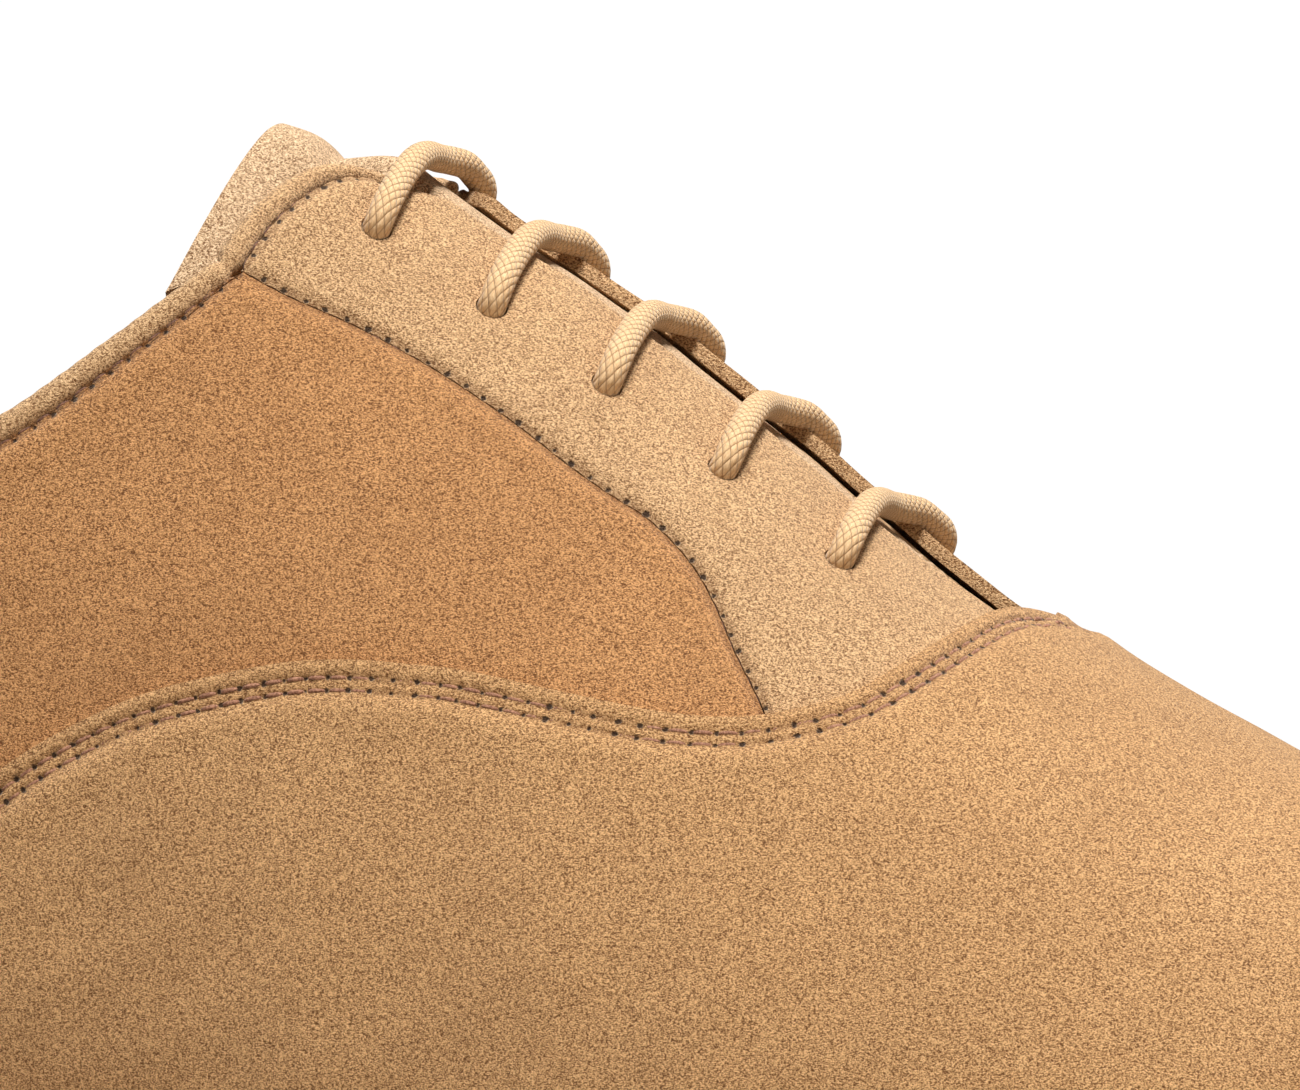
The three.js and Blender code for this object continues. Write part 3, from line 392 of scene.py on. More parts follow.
EYELET_ROWS = 5
EYELET_SPOTS = {}
for side, _ in BOTH_SIDES:
    (x0, gap0), (dx, dgap) = FIRST_EYELET[side], EYELET_STEP
    spots = [(x0 + dx * k, gap0 + dgap * k) for k in range(EYELET_ROWS)]
    EYELET_SPOTS[side] = locate(side, plan_view, spots, [(station_at(x), 0.75) for x, _ in spots])

# ------------------------------------------------------------------ making meshes


WELD_GAP = 0.002


def select_only(*objects):
    bpy.ops.object.select_all(action="DESELECT")
    for o in objects:
        o.select_set(True)
    bpy.context.view_layer.objects.active = objects[0]


def apply_modifiers(piece):
    select_only(piece)
    for modifier in list(piece.modifiers):
        bpy.ops.object.modifier_apply(modifier=modifier.name)


def in_edit_mode(piece, step):
    select_only(piece)
    bpy.ops.object.mode_set(mode="EDIT")
    bpy.ops.mesh.select_all(action="SELECT")
    step()
    bpy.ops.object.mode_set(mode="OBJECT")


def positions(piece):
    co = np.empty(len(piece.data.vertices) * 3)
    piece.data.vertices.foreach_get("co", co)
    return co.reshape(-1, 3) / MM


def place(piece, points):
    piece.data.vertices.foreach_set("co", (np.asarray(points, float) * MM).ravel())
    piece.data.update()


def grid_piece(name, points):
    """A grid laid on rows and columns of points. Its faces look along columns across rows."""
    rows, columns = points.shape[:2]
    bpy.ops.object.select_all(action="DESELECT")
    bpy.ops.mesh.primitive_grid_add(x_subdivisions=columns - 1, y_subdivisions=rows - 1, size=1)
    piece = bpy.context.active_object
    piece.name = piece.data.name = name
    place(piece, points.reshape(-1, 3))
    return piece


def joined_piece(name, pieces):
    select_only(*pieces)
    if len(pieces) > 1:
        bpy.ops.object.join()
    piece = bpy.context.active_object
    piece.name = piece.data.name = name
    return piece


def welded(piece):
    in_edit_mode(piece, lambda: bpy.ops.mesh.remove_doubles(threshold=WELD_GAP * MM))
    return piece


def skin(name, nets):
    """One welded sheet on the last from (side, net) pairs, its faces outwards."""
    grids = []
    for side, places in nets:
        points = last(side, places[..., 0], places[..., 1])
        grids.append(grid_piece(name, points[::-1] if side == OUTER else points))
    return welded(joined_piece(name, grids))


def along_line(points, line):
    """How far along a line of points each point is, and how far from it."""
    walked = arc_length(line)
    step = np.maximum((np.diff(line, axis=0) ** 2).sum(1), 1e-12)
    arc, away = np.empty(len(points)), np.empty(len(points))
    for chunk in np.array_split(np.arange(len(points)), len(points) // 3000 + 1):
        p = points[chunk]
        gap = (p ** 2).sum(1)[:, None] - 2 * p @ line.T + (line ** 2).sum(1)[None]
        k = gap.argmin(1)
        best = np.full(len(p), np.inf)
        for shift in (-1, 0):
            a = np.clip(k + shift, 0, len(line) - 2)
            ab = line[a + 1] - line[a]
            u = np.clip(((p - line[a]) * ab).sum(1) / step[a], 0, 1)
            d = np.linalg.norm(p - line[a] - u[:, None] * ab, axis=1)
            closer_one = d < best
            best = np.where(closer_one, d, best)
            arc[chunk] = np.where(closer_one, walked[a] + u * (walked[a + 1] - walked[a]), arc[chunk])
        away[chunk] = best
    return arc, away


PITCH = 2.05
FIRST_ROW = 1.0  # the first stitch row's place in the seam attribute
FAR_FROM_SEAMS = 50.0


class Line:
    """A panel's seam line: its points, how far inside it the first stitch row runs, and if it is pierced."""

    def __init__(self, side, run, row, holes=True):
        self.points = last(side, run[:, 0], run[:, 1])
        self.row = row
        self.holes = holes


def smoothstep(x, low, high):
    u = np.clip((x - low) / (high - low), 0, 1)
    return u * u * (3 - 2 * u)


def ripple(points):
    """The slow unevenness of lasted leather."""
    x, y, z = points.T
    return 0.14 * (
        np.sin(0.21 * x + 0.13 * z + 0.5) * np.sin(0.17 * z - 0.11 * x + 0.09 * y)
        + 0.5 * np.sin(0.43 * x - 0.31 * z + 0.2 * y + 1.7) * np.sin(0.37 * z + 0.12 * x)
    )


def mark_seam(piece, arc, away):
    """Stores each point's place along a seam, in stitches, and its distance from it in mm."""
    marks = piece.data.attributes.new("seam", "FLOAT_VECTOR", "POINT")
    places = np.stack([arc, away, 0 * arc], -1)
    marks.data.foreach_set("vector", places.astype(np.float32).ravel())


def raise_skin(piece, height, lines=(), relief=None):
    """Lifts a sheet off the last, and stores how each point lies to its nearest seam."""
    points = positions(piece)
    normals = np.empty(len(points) * 3)
    piece.data.vertex_normals.foreach_get("vector", normals)
    normals = normals.reshape(-1, 3)
    arc, away = np.zeros(len(points)), np.full(len(points), FAR_FROM_SEAMS)
    for line in lines:
        a, d = along_line(points, line.points)
        d = d - line.row
        nearer = d < away
        stitches = a / PITCH if line.holes else 0.5
        arc, away = np.where(nearer, stitches, arc), np.where(nearer, d, away)
    lift = np.zeros(len(points)) + height + ripple(points)
    if relief is not None:
        lift = lift + relief(points, arc, away)
    place(piece, points + normals * lift[:, None])
    mark_seam(piece, arc, away + FIRST_ROW)


def pulled(arc, away, rows, depth=0.16, hole=0.3):
    """How stitches pull the leather down: a groove along each row, deeper at each hole."""
    pull = ((1 + np.cos(2 * math.pi * arc)) / 2) ** 2
    return -sum(np.exp(-(((away - row) / 0.42) ** 2)) * (depth + hole * pull) for row in rows)


def soften_edges(piece, width, segments):
    bevel = piece.modifiers.new("edge", "BEVEL")
    bevel.width = width * MM
    bevel.segments = segments
    bevel.limit_method = "ANGLE"
    bevel.angle_limit = math.radians(50)
    return bevel


def eyelet_cutters(side, radius, sides, depth):
    """A rod through each hole of a side, its middle set depth mm under the surface."""
    cutters = []
    for s, t in EYELET_SPOTS[side]:
        bpy.ops.object.select_all(action="DESELECT")
        bpy.ops.mesh.primitive_cylinder_add(vertices=sides, radius=radius * MM, depth=9 * MM)
        cutter = bpy.context.active_object
        cutter.rotation_mode = "QUATERNION"
        cutter.rotation_quaternion = Vector(normal(side, s, t)).to_track_quat("Z", "Y")
        cutter.location = Vector(off_last(side, s, t, -depth)) * MM
        cutters.append(cutter)
    return cutters


def thicken(piece, thickness, rounding, segments=3, cutters=()):
    """Gives a sheet its thickness inwards, a soft cut edge and punched holes."""
    wall = piece.modifiers.new("wall", "SOLIDIFY")
    wall.thickness = thickness * MM
    wall.offset = -1
    wall.material_offset_rim = 1
    wall.use_quality_normals = True
    if rounding:
        soften_edges(piece, rounding, segments).material = 1
    for cutter in cutters:
        hole = piece.modifiers.new("hole", "BOOLEAN")
        hole.object = cutter
        hole.operation = "DIFFERENCE"
        hole.solver = "EXACT"
    apply_modifiers(piece)
    for cutter in cutters:
        bpy.data.objects.remove(cutter)
    return piece


def smooth(piece, angle=None):
    select_only(piece)
    if angle is None:
        bpy.ops.object.shade_smooth()
    else:
        bpy.ops.object.shade_smooth_by_angle(angle=math.radians(angle))
    return piece


def smooth_path(points, spacing):
    """A centripetal curve through points, read about every spacing mm."""
    p = np.asarray(points, float)
    p = np.concatenate([2 * p[:1] - p[1:2], p, 2 * p[-1:] - p[-2:-1]])
    knots = np.concatenate([[0], np.cumsum(np.linalg.norm(np.diff(p, axis=0), axis=1) ** 0.5)])
    out = []
    for k in range(1, len(p) - 2):
        k0, k1, k2, k3 = knots[k - 1:k + 3]
        count = max(2, round(float(np.linalg.norm(p[k + 1] - p[k])) / spacing))
        at = np.linspace(k1, k2, count, endpoint=False)[:, None]
        a1 = (k1 - at) / (k1 - k0) * p[k - 1] + (at - k0) / (k1 - k0) * p[k]
        a2 = (k2 - at) / (k2 - k1) * p[k] + (at - k1) / (k2 - k1) * p[k + 1]
        a3 = (k3 - at) / (k3 - k2) * p[k + 1] + (at - k2) / (k3 - k2) * p[k + 2]
        b1 = (k2 - at) / (k2 - k0) * a1 + (at - k0) / (k2 - k0) * a2
        b2 = (k3 - at) / (k3 - k1) * a2 + (at - k1) / (k3 - k1) * a3
        out.append((k2 - at) / (k2 - k1) * b1 + (at - k1) / (k2 - k1) * b2)
    return np.concatenate([*out, p[-2:-1]])


def frames_along(path):
    """The way along a path and two ways across it at each point, carried along without twist."""
    ahead = ways_along(path)
    across = np.empty_like(path)
    side = np.array((0, 0, 1), float)
    for i, way in enumerate(ahead):
        side = side - way * side.dot(way)
        side /= np.linalg.norm(side)
        across[i] = side
    return ahead, across, np.cross(ahead, across)


TUBE_DOME = [(1.0, 0.25), (0.72, 0.7), (0.3, 0.95)]


def tube(name, path, radius, sides):
    """A round tube on a path, its ends closed by small domes. UV: turns around, mm along."""
    path = np.asarray(path, float)
    radius = np.broadcast_to(np.asarray(radius, float), (len(path),)).copy()
    ahead, across, up = frames_along(path)
    angles = np.linspace(0, 2 * math.pi, sides + 1)
    walked = arc_length(path)
    rings = [(i, path[i], radius[i], walked[i]) for i in range(len(path))]
    for out, reach in TUBE_DOME:
        back, on = radius[0] * reach, radius[-1] * reach
        rings.insert(0, (0, path[0] - ahead[0] * back, radius[0] * out, -back))
        rings.append((-1, path[-1] + ahead[-1] * on, radius[-1] * out, walked[-1] + on))
    points = np.stack([
        centre + r * (np.cos(angles)[:, None] * across[i] + np.sin(angles)[:, None] * up[i])
        for i, centre, r, _ in rings
    ])
    lengths = [length for *_, length in rings]
    piece = grid_piece(name, points[:, ::-1])
    loops = np.empty(len(piece.data.loops), int)
    piece.data.loops.foreach_get("vertex_index", loops)
    row, column = loops // (sides + 1), loops % (sides + 1)
    uv = piece.data.uv_layers.active
    uv.name = "around"
    uv.data.foreach_set("uv", np.stack([column / sides, np.array(lengths)[row]], -1).ravel())
    welded(piece)
    cap_ends(piece)
    return smooth(piece)


def cap_ends(piece):
    """Fills the two open rings of a tube."""
    mesh = bmesh.new()
    mesh.from_mesh(piece.data)
    rim = [e for e in mesh.edges if e.is_boundary]
    bmesh.ops.holes_fill(mesh, edges=rim, sides=0)
    bmesh.ops.recalc_face_normals(mesh, faces=mesh.faces)
    mesh.to_mesh(piece.data)
    mesh.free()


# ------------------------------------------------------------------ lace: cords first

LACE_DIAMETER = 2.6
LACE_ENDS = {
    "lateral": [
        (-2.95, -17.75, 84.65), (-4.6, -20.2, 81.3), (-6.6, -21.9, 76.5), (-9, -23, 70), (-11.5, -23.3, 62),
        (-14, -22.8, 54), (-17, -21.4, 46), (-20.5, -19.2, 38.5), (-25, -16.2, 31.6), (-31, -12.6, 27),
        (-38, -9, 26.2), (-46, -6, 27.3), (-55, -4, 28.8), (-64, -3.4, 30.2), (-73, -4.5, 31.3),
        (-82, -7, 32.1), (-91, -10, 32.8),
    ],
    "medial": [
        (-13.45, 17.3, 90.7), (-15.2, 19, 87.2), (-17.4, 20.2, 82), (-19.6, 21.2, 75.5), (-22, 21.6, 67.5),
        (-24, 21.3, 59.5), (-25.5, 20.2, 51.5), (-26, 18, 44), (-25, 15.2, 37), (-22, 12.4, 30.5),
        (-16.5, 10.2, 25.3), (-9.5, 8.6, 21.5), (-1.5, 7.6, 18.9), (7, 7, 17.1), (16, 6.5, 15.7),
        (25, 6, 14.8),
    ],
}
AGLET_DIAMETER, AGLET_GAP = 2.3, 0.3
# share of the full radius, and mm from the cord's end
AGLET_PROFILE = [
    (0.72, 0), (0.94, 0.25), (0.96, 0.9), (0.86, 1.3), (0.86, 1.8), (0.97, 2.2), (1, 3), (1, 17.5),
    (0.97, 18.8), (0.8, 19.6), (0.5, 20),
]

PIECES = {}  # piece name: (piece, body, slot, [CAD nodes that it stands for], [materials])


def keep(piece, slot, nodes, materials, body="shoe"):
    PIECES[piece.name] = (piece, body, slot, nodes, materials)
    return piece


def aglet(name, path):
    ahead = unit(path[-1] - path[-2])
    start = path[-1] + ahead * AGLET_GAP
    line = np.array([start + ahead * h for _, h in AGLET_PROFILE])
    return tube(name, line, [AGLET_DIAMETER / 2 * r for r, _ in AGLET_PROFILE], 24)


for end_name, end_points in LACE_ENDS.items():
    end_path = smooth_path(end_points, 0.45)
    end_piece = tube(f"loose_lace_{end_name}", end_path, LACE_DIAMETER / 2, 18)
    tip_piece = aglet(f"lace_tip_{end_name}", end_path)
    keep(end_piece, "cotton_lace", [f"lace_end_{end_name}"], ["cotton lace"])
    keep(tip_piece, "lace_tip", [f"aglet_{end_name}"], ["lace tip"])
    float(arc_length(end_path)[-1]) * MM

# share of the way over to the other side's hole, and height off the last
BAR = [
    (0, -5.1), (0, -3.2), (0, 0.2), (0.02, 1), (0.07, 1.4), (0.16, 1.2), (0.26, 0.95), (0.38, 0.3),
    (0.5, -0.1),
]
RUN_DEPTH = -5.3
TAIL_REACH = {OUTER: (0.1, 0.09), INNER: (0.163, 0.195)}


def bar(row):
    """One straight bar of the lacing, from the outer hole to the inner."""
    half = {}
    for side, other in ((OUTER, INNER), (INNER, OUTER)):
        (s, t), (far, _) = EYELET_SPOTS[side][row], EYELET_SPOTS[other][row]
        half[side] = [off_last(side, s + (far - s) * f, t + (1 - t) * 2 * f, h) for f, h in BAR]
    return [*half[OUTER], *half[INNER][-2::-1]]


def lace_run(side, start, end, bow):
    """Behind the lining from one hole to another, bowed clear of the hole between them."""
    a, b = EYELET_SPOTS[side][start], EYELET_SPOTS[side][end]
    steps = 3 if abs(end - start) == 1 else 5
    run = []
    for u in np.arange(1, steps) / steps:
        aside = bow * math.sin(math.pi * u) ** 0.7 / 80
        run.append(off_last(side, *(a + (b - a) * u + [0, aside]), RUN_DEPTH))
    return run


def lace_tail(side, row):
    s, t = EYELET_SPOTS[side][row]
    back, down = TAIL_REACH[side]
    end = off_last(side, s - back, t - down, RUN_DEPTH)
    return [end, off_last(side, s - back * 0.4, t - down / 2, RUN_DEPTH)]


BARS = [bar(row) for row in range(EYELET_ROWS)]
LACE_ROUTE = [
    *lace_tail(OUTER, 1), *BARS[1], *lace_run(INNER, 1, 3, 3.6), *BARS[3][::-1], *lace_run(OUTER, 3, 4, 0),
    *BARS[4], *lace_run(INNER, 4, 2, -3.6), *BARS[2][::-1], *lace_run(OUTER, 2, 0, 3.6), *BARS[0],
    *lace_tail(INNER, 0)[::-1],
]
keep(
    tube("laced_bars", smooth_path(LACE_ROUTE, 0.4), LACE_DIAMETER / 2, 24),
    "cotton_lace", ["lace_threaded"], ["cotton lace"],
)

# ------------------------------------------------------------------ stitches

THREADS = {}  # piece name: the vertices of its stitches, row by row


def stitch_shape():
    """One stitch 1 mm long and 1 mm thick along X, to be stretched between its holes."""
    bpy.ops.object.select_all(action="DESELECT")
    bpy.ops.mesh.primitive_uv_sphere_add(segments=6, ring_count=6, radius=0.5, rotation=(0, math.pi / 2, 0))
    ball = bpy.context.active_object
    select_only(ball)
    bpy.ops.object.transform_apply(location=False, rotation=True, scale=False)
    co = positions(ball) * MM
    faces = [tuple(p.vertices) for p in ball.data.polygons]
    bpy.data.objects.remove(ball)
    # the middle stays full and the ends dive, as a pulled thread does
    reach = np.abs(co[:, 0]) * 2
    co[:, 1:] *= (1 + 0.28 * smoothstep(reach, 0.3, 0.95))[:, None]
    co[:, 2] -= 0.5 * reach ** 3
    return co, faces


STITCH, STITCH_FACES = stitch_shape()


def sew(name, starts, ends, normals, thickness):
    """Lays one stitch from each start to each end, and remembers them for one thread piece."""
    way = ends - starts
    length = np.linalg.norm(way, axis=1, keepdims=True)
    x = way / length
    z = unit(normals - x * (normals * x).sum(1, keepdims=True))
    y = np.cross(z, x)
    middle = (starts + ends) / 2
    points = (
        middle[:, None]
        + x[:, None] * (STITCH[None, :, :1] * length[:, None])
        + y[:, None] * STITCH[None, :, 1:2] * thickness
        + z[:, None] * STITCH[None, :, 2:] * thickness
    )
    THREADS.setdefault(name, []).append(points)


def row_marks(side, run, distance, height):
    """The needle holes of a row beside a seam: points off the last, and the way out there."""
    row = shifted(side, run, distance) if distance else run
    walked = arc_length(last(side, run[:, 0], run[:, 1]))
    marks = np.arange(0, walked[-1], PITCH)
    s, t = (np.interp(marks, walked, column) for column in row.T)
    out = normal(side, s, t)
    return last(side, s, t) + out * height, out


def sew_row(name, side, run, distance, height, share, thickness):
    """A row of stitches whose holes stand at whole pitches along the seam."""
    holes, out = row_marks(side, run, distance, height)
    a, b = holes[:-1], holes[1:]
    gap = (b - a) * (1 - share) / 2
    sew(name, a + gap, b - gap, out[:-1] + out[1:], thickness)


def lap_rows(name, side, run, rows, top):
    """The thick rows through a lapped edge whose leather stands at top."""
    for row in rows:
        sew_row(name, side, run, row, top - LAP_SINK, 0.84, 0.46)


def thread_pieces():
    for name, rows in THREADS.items():
        points = np.concatenate(rows)
        count = len(STITCH)
        faces = [tuple(v + i * count for v in face) for i in range(len(points)) for face in STITCH_FACES]
        mesh = bpy.data.meshes.new(name)
        mesh.from_pydata((points.reshape(-1, 3) * MM).tolist(), [], faces)
        piece = bpy.data.objects.new(name, mesh)
        bpy.context.scene.collection.objects.link(piece)
        smooth(piece)
        yield piece


# ------------------------------------------------------------------ upper panels

QUARTER_TOP, VAMP_TOP, CAP_TOP = 0.0, 1.9, 3.7
LEATHER = 1.3
PUNCH_RADIUS, EYELET_ROOM = 1.45, 2.45
# how deep the threads lie under the unpressed surface
SEAM_SINK, TOPLINE_SINK, LAP_SINK = 0.72, 0.66, 0.78
BACK_SEAM = 0.004
punched = bpy.data.materials.new("punched")


def front_dense(count):
    """Fractions up a panel that come closer together towards its upper edge."""
    return closer(count, 1.6, 0.45)


def hole_dimple(side):
    centres = last(side, *EYELET_SPOTS[side].T)

    def dimple(points):
        gap = np.linalg.norm(points[:, None] - centres[None], axis=2).min(1)
        return -0.3 * np.exp(-((gap / 2.6) ** 2))

    return dimple


for side, side_name in BOTH_SIDES:
    seams = SEAMS[side]
    # the quarter, from the back seam to the facing
    front = shifted(side, seams.facing, -SEAM_GAP / 2)
    top = shifted(side, seams.topline, -SETBACK)
    upper = joined(np.concatenate([top[:-1], front[:1]]), front)
    lower = joined(level(0, seams.waist, UPPER_FOOT, TOPLINE_STEPS), seams.under)
    lower[-1] = front[-1]
    lower[0, 0] = upper[0, 0] = BACK_SEAM
    quarter = skin(f"quarter_{side_name}", [(side, net(lower, upper, front_dense(72)))])
    raise_skin(
        quarter, QUARTER_TOP, [Line(side, seams.facing, 0.3, False), Line(side, top, 0.25)],
        lambda p, arc, away: (
            pulled(arc, away, [0], 0.08, 0.22) - 0.32 * (1 - smoothstep(away, -0.4, 0.9))
            + 0.16 * np.exp(-(((away - 1.9) / 1.1) ** 2))
        ),
    )
    thicken(quarter, LEATHER, 0.22)
    keep(smooth(quarter), "suede", [f"{side_name}_quarter"], ["quarter suede", "cut suede"])

    # the facing, punched for the lace
    lower = shifted(side, seams.facing, SEAM_GAP / 2)
    start = shifted(side, seams.top, -SETBACK)
    start[0], start[-1] = lower[0], seams.throat[0]
    across = np.concatenate([closer(28, 0.45, 1.3) * 0.5, 0.5 + closer(28, 1.3, 0.45)[1:] * 0.5])
    facing = skin(f"facing_{side_name}", [(side, net(lower, seams.throat, across, start))])
    dimple = hole_dimple(side)
    raise_skin(
        facing, QUARTER_TOP, [Line(side, seams.facing, 0.3), Line(side, start, 0.25)],
        lambda p, arc, away: (
            pulled(arc, away, [0], 0.08, 0.25) - 0.3 * (1 - smoothstep(away, -0.4, 0.9))
            + 0.12 * np.exp(-(((away - 1.9) / 1.1) ** 2)) + dimple(p)
        ),
    )
    punches = eyelet_cutters(side, PUNCH_RADIUS, 40, 1)
    for punch in punches:
        # their faces carry the second slot, so the holes' walls show cut suede
        for _ in range(2):
            punch.data.materials.append(punched)
        for face in punch.data.polygons:
            face.material_index = 1
    thicken(facing, LEATHER, 0.22, cutters=punches)
    keep(smooth(facing, 55), "suede", [f"{side_name}_facing"], ["facing suede", "cut suede"])

    sew_row("seam_thread", side, seams.facing, 0.0, QUARTER_TOP - SEAM_SINK, 0.7, 0.3)
    for run in (top, start):
        sew_row("topline_thread", side, run, 0.12, QUARTER_TOP - TOPLINE_SINK, 0.7, 0.34)

# the vamp, over quarter and facing on both sides
vamp_nets = []
for side, _ in BOTH_SIDES:
    seams = SEAMS[side]
    crest = seams.vamp[-1]
    upper = joined(seams.vamp, level(crest[0], station_at(VAMP_FRONT[1]), 1, 60))
    middle = station_at(46, 0)
    lower = joined(
        level(seams.tail, middle, UPPER_FOOT, len(seams.vamp) - 1),
        level(middle, station_at(VAMP_FRONT[0], 0), UPPER_FOOT, 60),
    )
    lower[0] = upper[0]
    vamp_nets.append((side, net(lower, upper, front_dense(58))))
vamp = skin("vamp_suede", vamp_nets)
VAMP_ROWS = (1.55, 2.7)


def lapped(points, arc, away):
    """A lapped edge: pressed down to its second row, and swelling beyond it."""
    second = VAMP_ROWS[1] - VAMP_ROWS[0]
    return (
        -0.55 * (1 - smoothstep(away, second - 0.1, 4.2))
        + pulled(arc, away, [0, second])
        + 0.2 * np.exp(-(((away - 2.6) / 1.0) ** 2))
        + 0.08 * np.exp(-(((away + 0.7) / 0.5) ** 2))
    )


raise_skin(
    vamp, VAMP_TOP, [Line(side, SEAMS[side].vamp, VAMP_ROWS[0]) for side, _ in BOTH_SIDES], lapped,
)
thicken(vamp, LEATHER, 0.3)
keep(smooth(vamp), "suede", ["vamp"], ["vamp suede", "cut suede"])
for side, _ in BOTH_SIDES:
    lap_rows("vamp_thread", side, SEAMS[side].vamp, [-row for row in VAMP_ROWS], VAMP_TOP)

# the toe cap
CAP_FOOT = 0.05
cap_start = (station_at(CAP_SEAM[0], 0), CAP_FOOT), (station_at(CAP_SEAM[1]), 1)
CAP_EDGE = straight(*cap_start, 120)
at = closer(150, 0.4, 1.1)[:, None]
lower, upper = (np.array(start) + ((LAST, start[1]) - np.array(start)) * at for start in cap_start)
toe_cap = skin("toe_cap_suede", [(side, net(lower, upper, np.linspace(0, 1, 66))) for side, _ in BOTH_SIDES])
raise_skin(toe_cap, CAP_TOP, [Line(side, CAP_EDGE, VAMP_ROWS[0]) for side, _ in BOTH_SIDES], lapped)
thicken(toe_cap, LEATHER, 0.3)
keep(smooth(toe_cap), "suede", ["toe_cap"], ["vamp suede", "cut suede"])
for side, _ in BOTH_SIDES:
    lap_rows("cap_thread", side, CAP_EDGE, [-row for row in VAMP_ROWS], CAP_TOP)

# the strip over the back seam
STRIP_HALF = (0.42, 0.3)
STRIP_ROW = 1.5
strip_top = SEAMS[OUTER].topline[0, 1] - 0.03
STRIP_EDGE = straight((STRIP_HALF[0], UPPER_FOOT), (STRIP_HALF[1], strip_top), 120)
at = closer(28, 1.2, 0.45)[:, None]
level_places = np.stack([STRIP_EDGE[:, 0] * at, STRIP_EDGE[:, 1] + 0 * at], -1)
for side, _ in BOTH_SIDES:
    lap_rows("back_thread", side, STRIP_EDGE, [STRIP_ROW], VAMP_TOP)
strip = skin("back_strip_suede", [(side, level_places) for side, _ in BOTH_SIDES])
raise_skin(
    strip, VAMP_TOP, [Line(side, STRIP_EDGE, STRIP_ROW) for side, _ in BOTH_SIDES],
    lambda p, arc, away: pulled(arc, away, [0]) - 0.55 * (1 - smoothstep(away, 0.3, 2.2)),
)
thicken(strip, LEATHER, 0.3)
keep(smooth(strip), "suede", ["back_strip"], ["vamp suede", "cut suede"])

# ------------------------------------------------------------------ rolled edge

PIPING = 2.6


def half_edge(side):
    run = shifted(side, joined(SEAMS[side].topline, SEAMS[side].top), -PIPING / 2)
    run[0, 0] = 0
    s, t = run.T
    return off_last(side, s, t, -1.3 - 0.4 * (1 - smoothstep(s, 2.4, 3.4)))


outer_edge, inner_edge = half_edge(OUTER), half_edge(INNER)
edge_path = np.concatenate([outer_edge[::-1], inner_edge[1:]])
walked = arc_length(edge_path)
even = np.linspace(0, walked[-1], round(walked[-1] / 0.5))
edge_path = np.stack([np.interp(even, walked, column) for column in edge_path.T], -1)
# it is pinched where the topline meets the facing, thins to its ends and is a little lumpy
pinch = np.zeros(len(edge_path))
for part in (outer_edge, inner_edge):
    gap = np.linalg.norm(edge_path - part[TOPLINE_STEPS], axis=1)
    pinch = np.maximum(pinch, np.exp(-((gap / 0.55) ** 2)))
ends = 1 - 0.5 * np.exp(-((np.minimum(even, even[-1] - even) / 7) ** 2))
lumps = 0.03 * np.sin(even * 2 * math.pi / PITCH) + 0.025 * np.sin(even * 0.83 + 1) * np.sin(even * 0.31)
rolled = tube("rolled_edge_suede", edge_path, PIPING / 2 * ends * (1 - 0.38 * pinch) + lumps, 22)
keep(rolled, "suede_edge", ["rolled_edge"], ["rolled suede"])

# ------------------------------------------------------------------ tongue

TONGUE_TIP_X, TONGUE_BASE_X = -18.5, 52
# the outer corner of the tip is wider and hangs further back
TONGUE_TIP = {OUTER: (3.7, 7.8, 2), INNER: (0, 3, 1)}


def tongue_nets(margin, rows, across):
    nets = []
    for side, _ in BOTH_SIDES:
        u = np.linspace(0, 1, rows)
        x = TONGUE_TIP_X + margin + (TONGUE_BASE_X - TONGUE_TIP_X - margin) * u
        wider, set_back, bow = TONGUE_TIP[side]
        width = 21.5 - 8 * u ** 1.5 + wider * np.clip(1 - 9 * u, 0, 1) - margin
        wanted = np.stack([x - set_back * (1 - u), width], -1)
        stations = np.array([station_at(value) for value in x])
        edge = locate(side, plan_view, wanted, np.stack([stations, np.full(rows, 0.7)], -1), 40)
        v = np.linspace(1, 0, across)[None]
        along = stations[:, None] + (edge[:, :1] - stations[:, None]) * v ** bow
        nets.append((side, np.stack([along, 1 - (1 - edge[:, 1:]) * v], -1)))
    return nets


def tongue_lift(p):
    """The tongue is pushed up between the facings, and most of all under the first bar."""
    gap = np.abs(p[:, 1] - 0.8)
    tip = 1.8 * np.exp(-(((p[:, 0] + 15.5) / 3.2) ** 2)) * (1 - smoothstep(gap, 6.5, 14.5))
    between = 5.0 * smoothstep(p[:, 0], -16, -9) * (1 - smoothstep(p[:, 0], 44, 50))
    return np.maximum(tip, between * (1 - smoothstep(gap, 3.0, 7.2)))


tongue = skin("tongue_suede", tongue_nets(0, 150, 42))
raise_skin(tongue, -6.9, (), lambda p, arc, away: tongue_lift(p))
thicken(tongue, 1.4, 0.35)
keep(smooth(tongue), "suede", ["tongue"], ["tongue suede", "cut suede"], "tongue")
tongue_lining = skin("tongue_lining_leather", tongue_nets(1, 90, 26))
raise_skin(tongue_lining, -9.1, (), lambda p, arc, away: tongue_lift(p))
thicken(tongue_lining, 0.8, 0.2, 2)
keep(smooth(tongue_lining), "lining_leather", ["tongue_lining"], ["lining", "lining edge"], "tongue")

# ------------------------------------------------------------------ linings

COUNTER_FRONT = 2.75


def counter_dip(side):
    """How much the lining stands in behind the heel counter, from its place along the shoe."""
    x = last(side, np.linspace(COUNTER_FRONT + 0.1, COUNTER_FRONT + 1.2, 12), 0.5)[:, 0]
    return lambda p: -1.8 * (1 - smoothstep(p[:, 0], x[0], x[-1]))


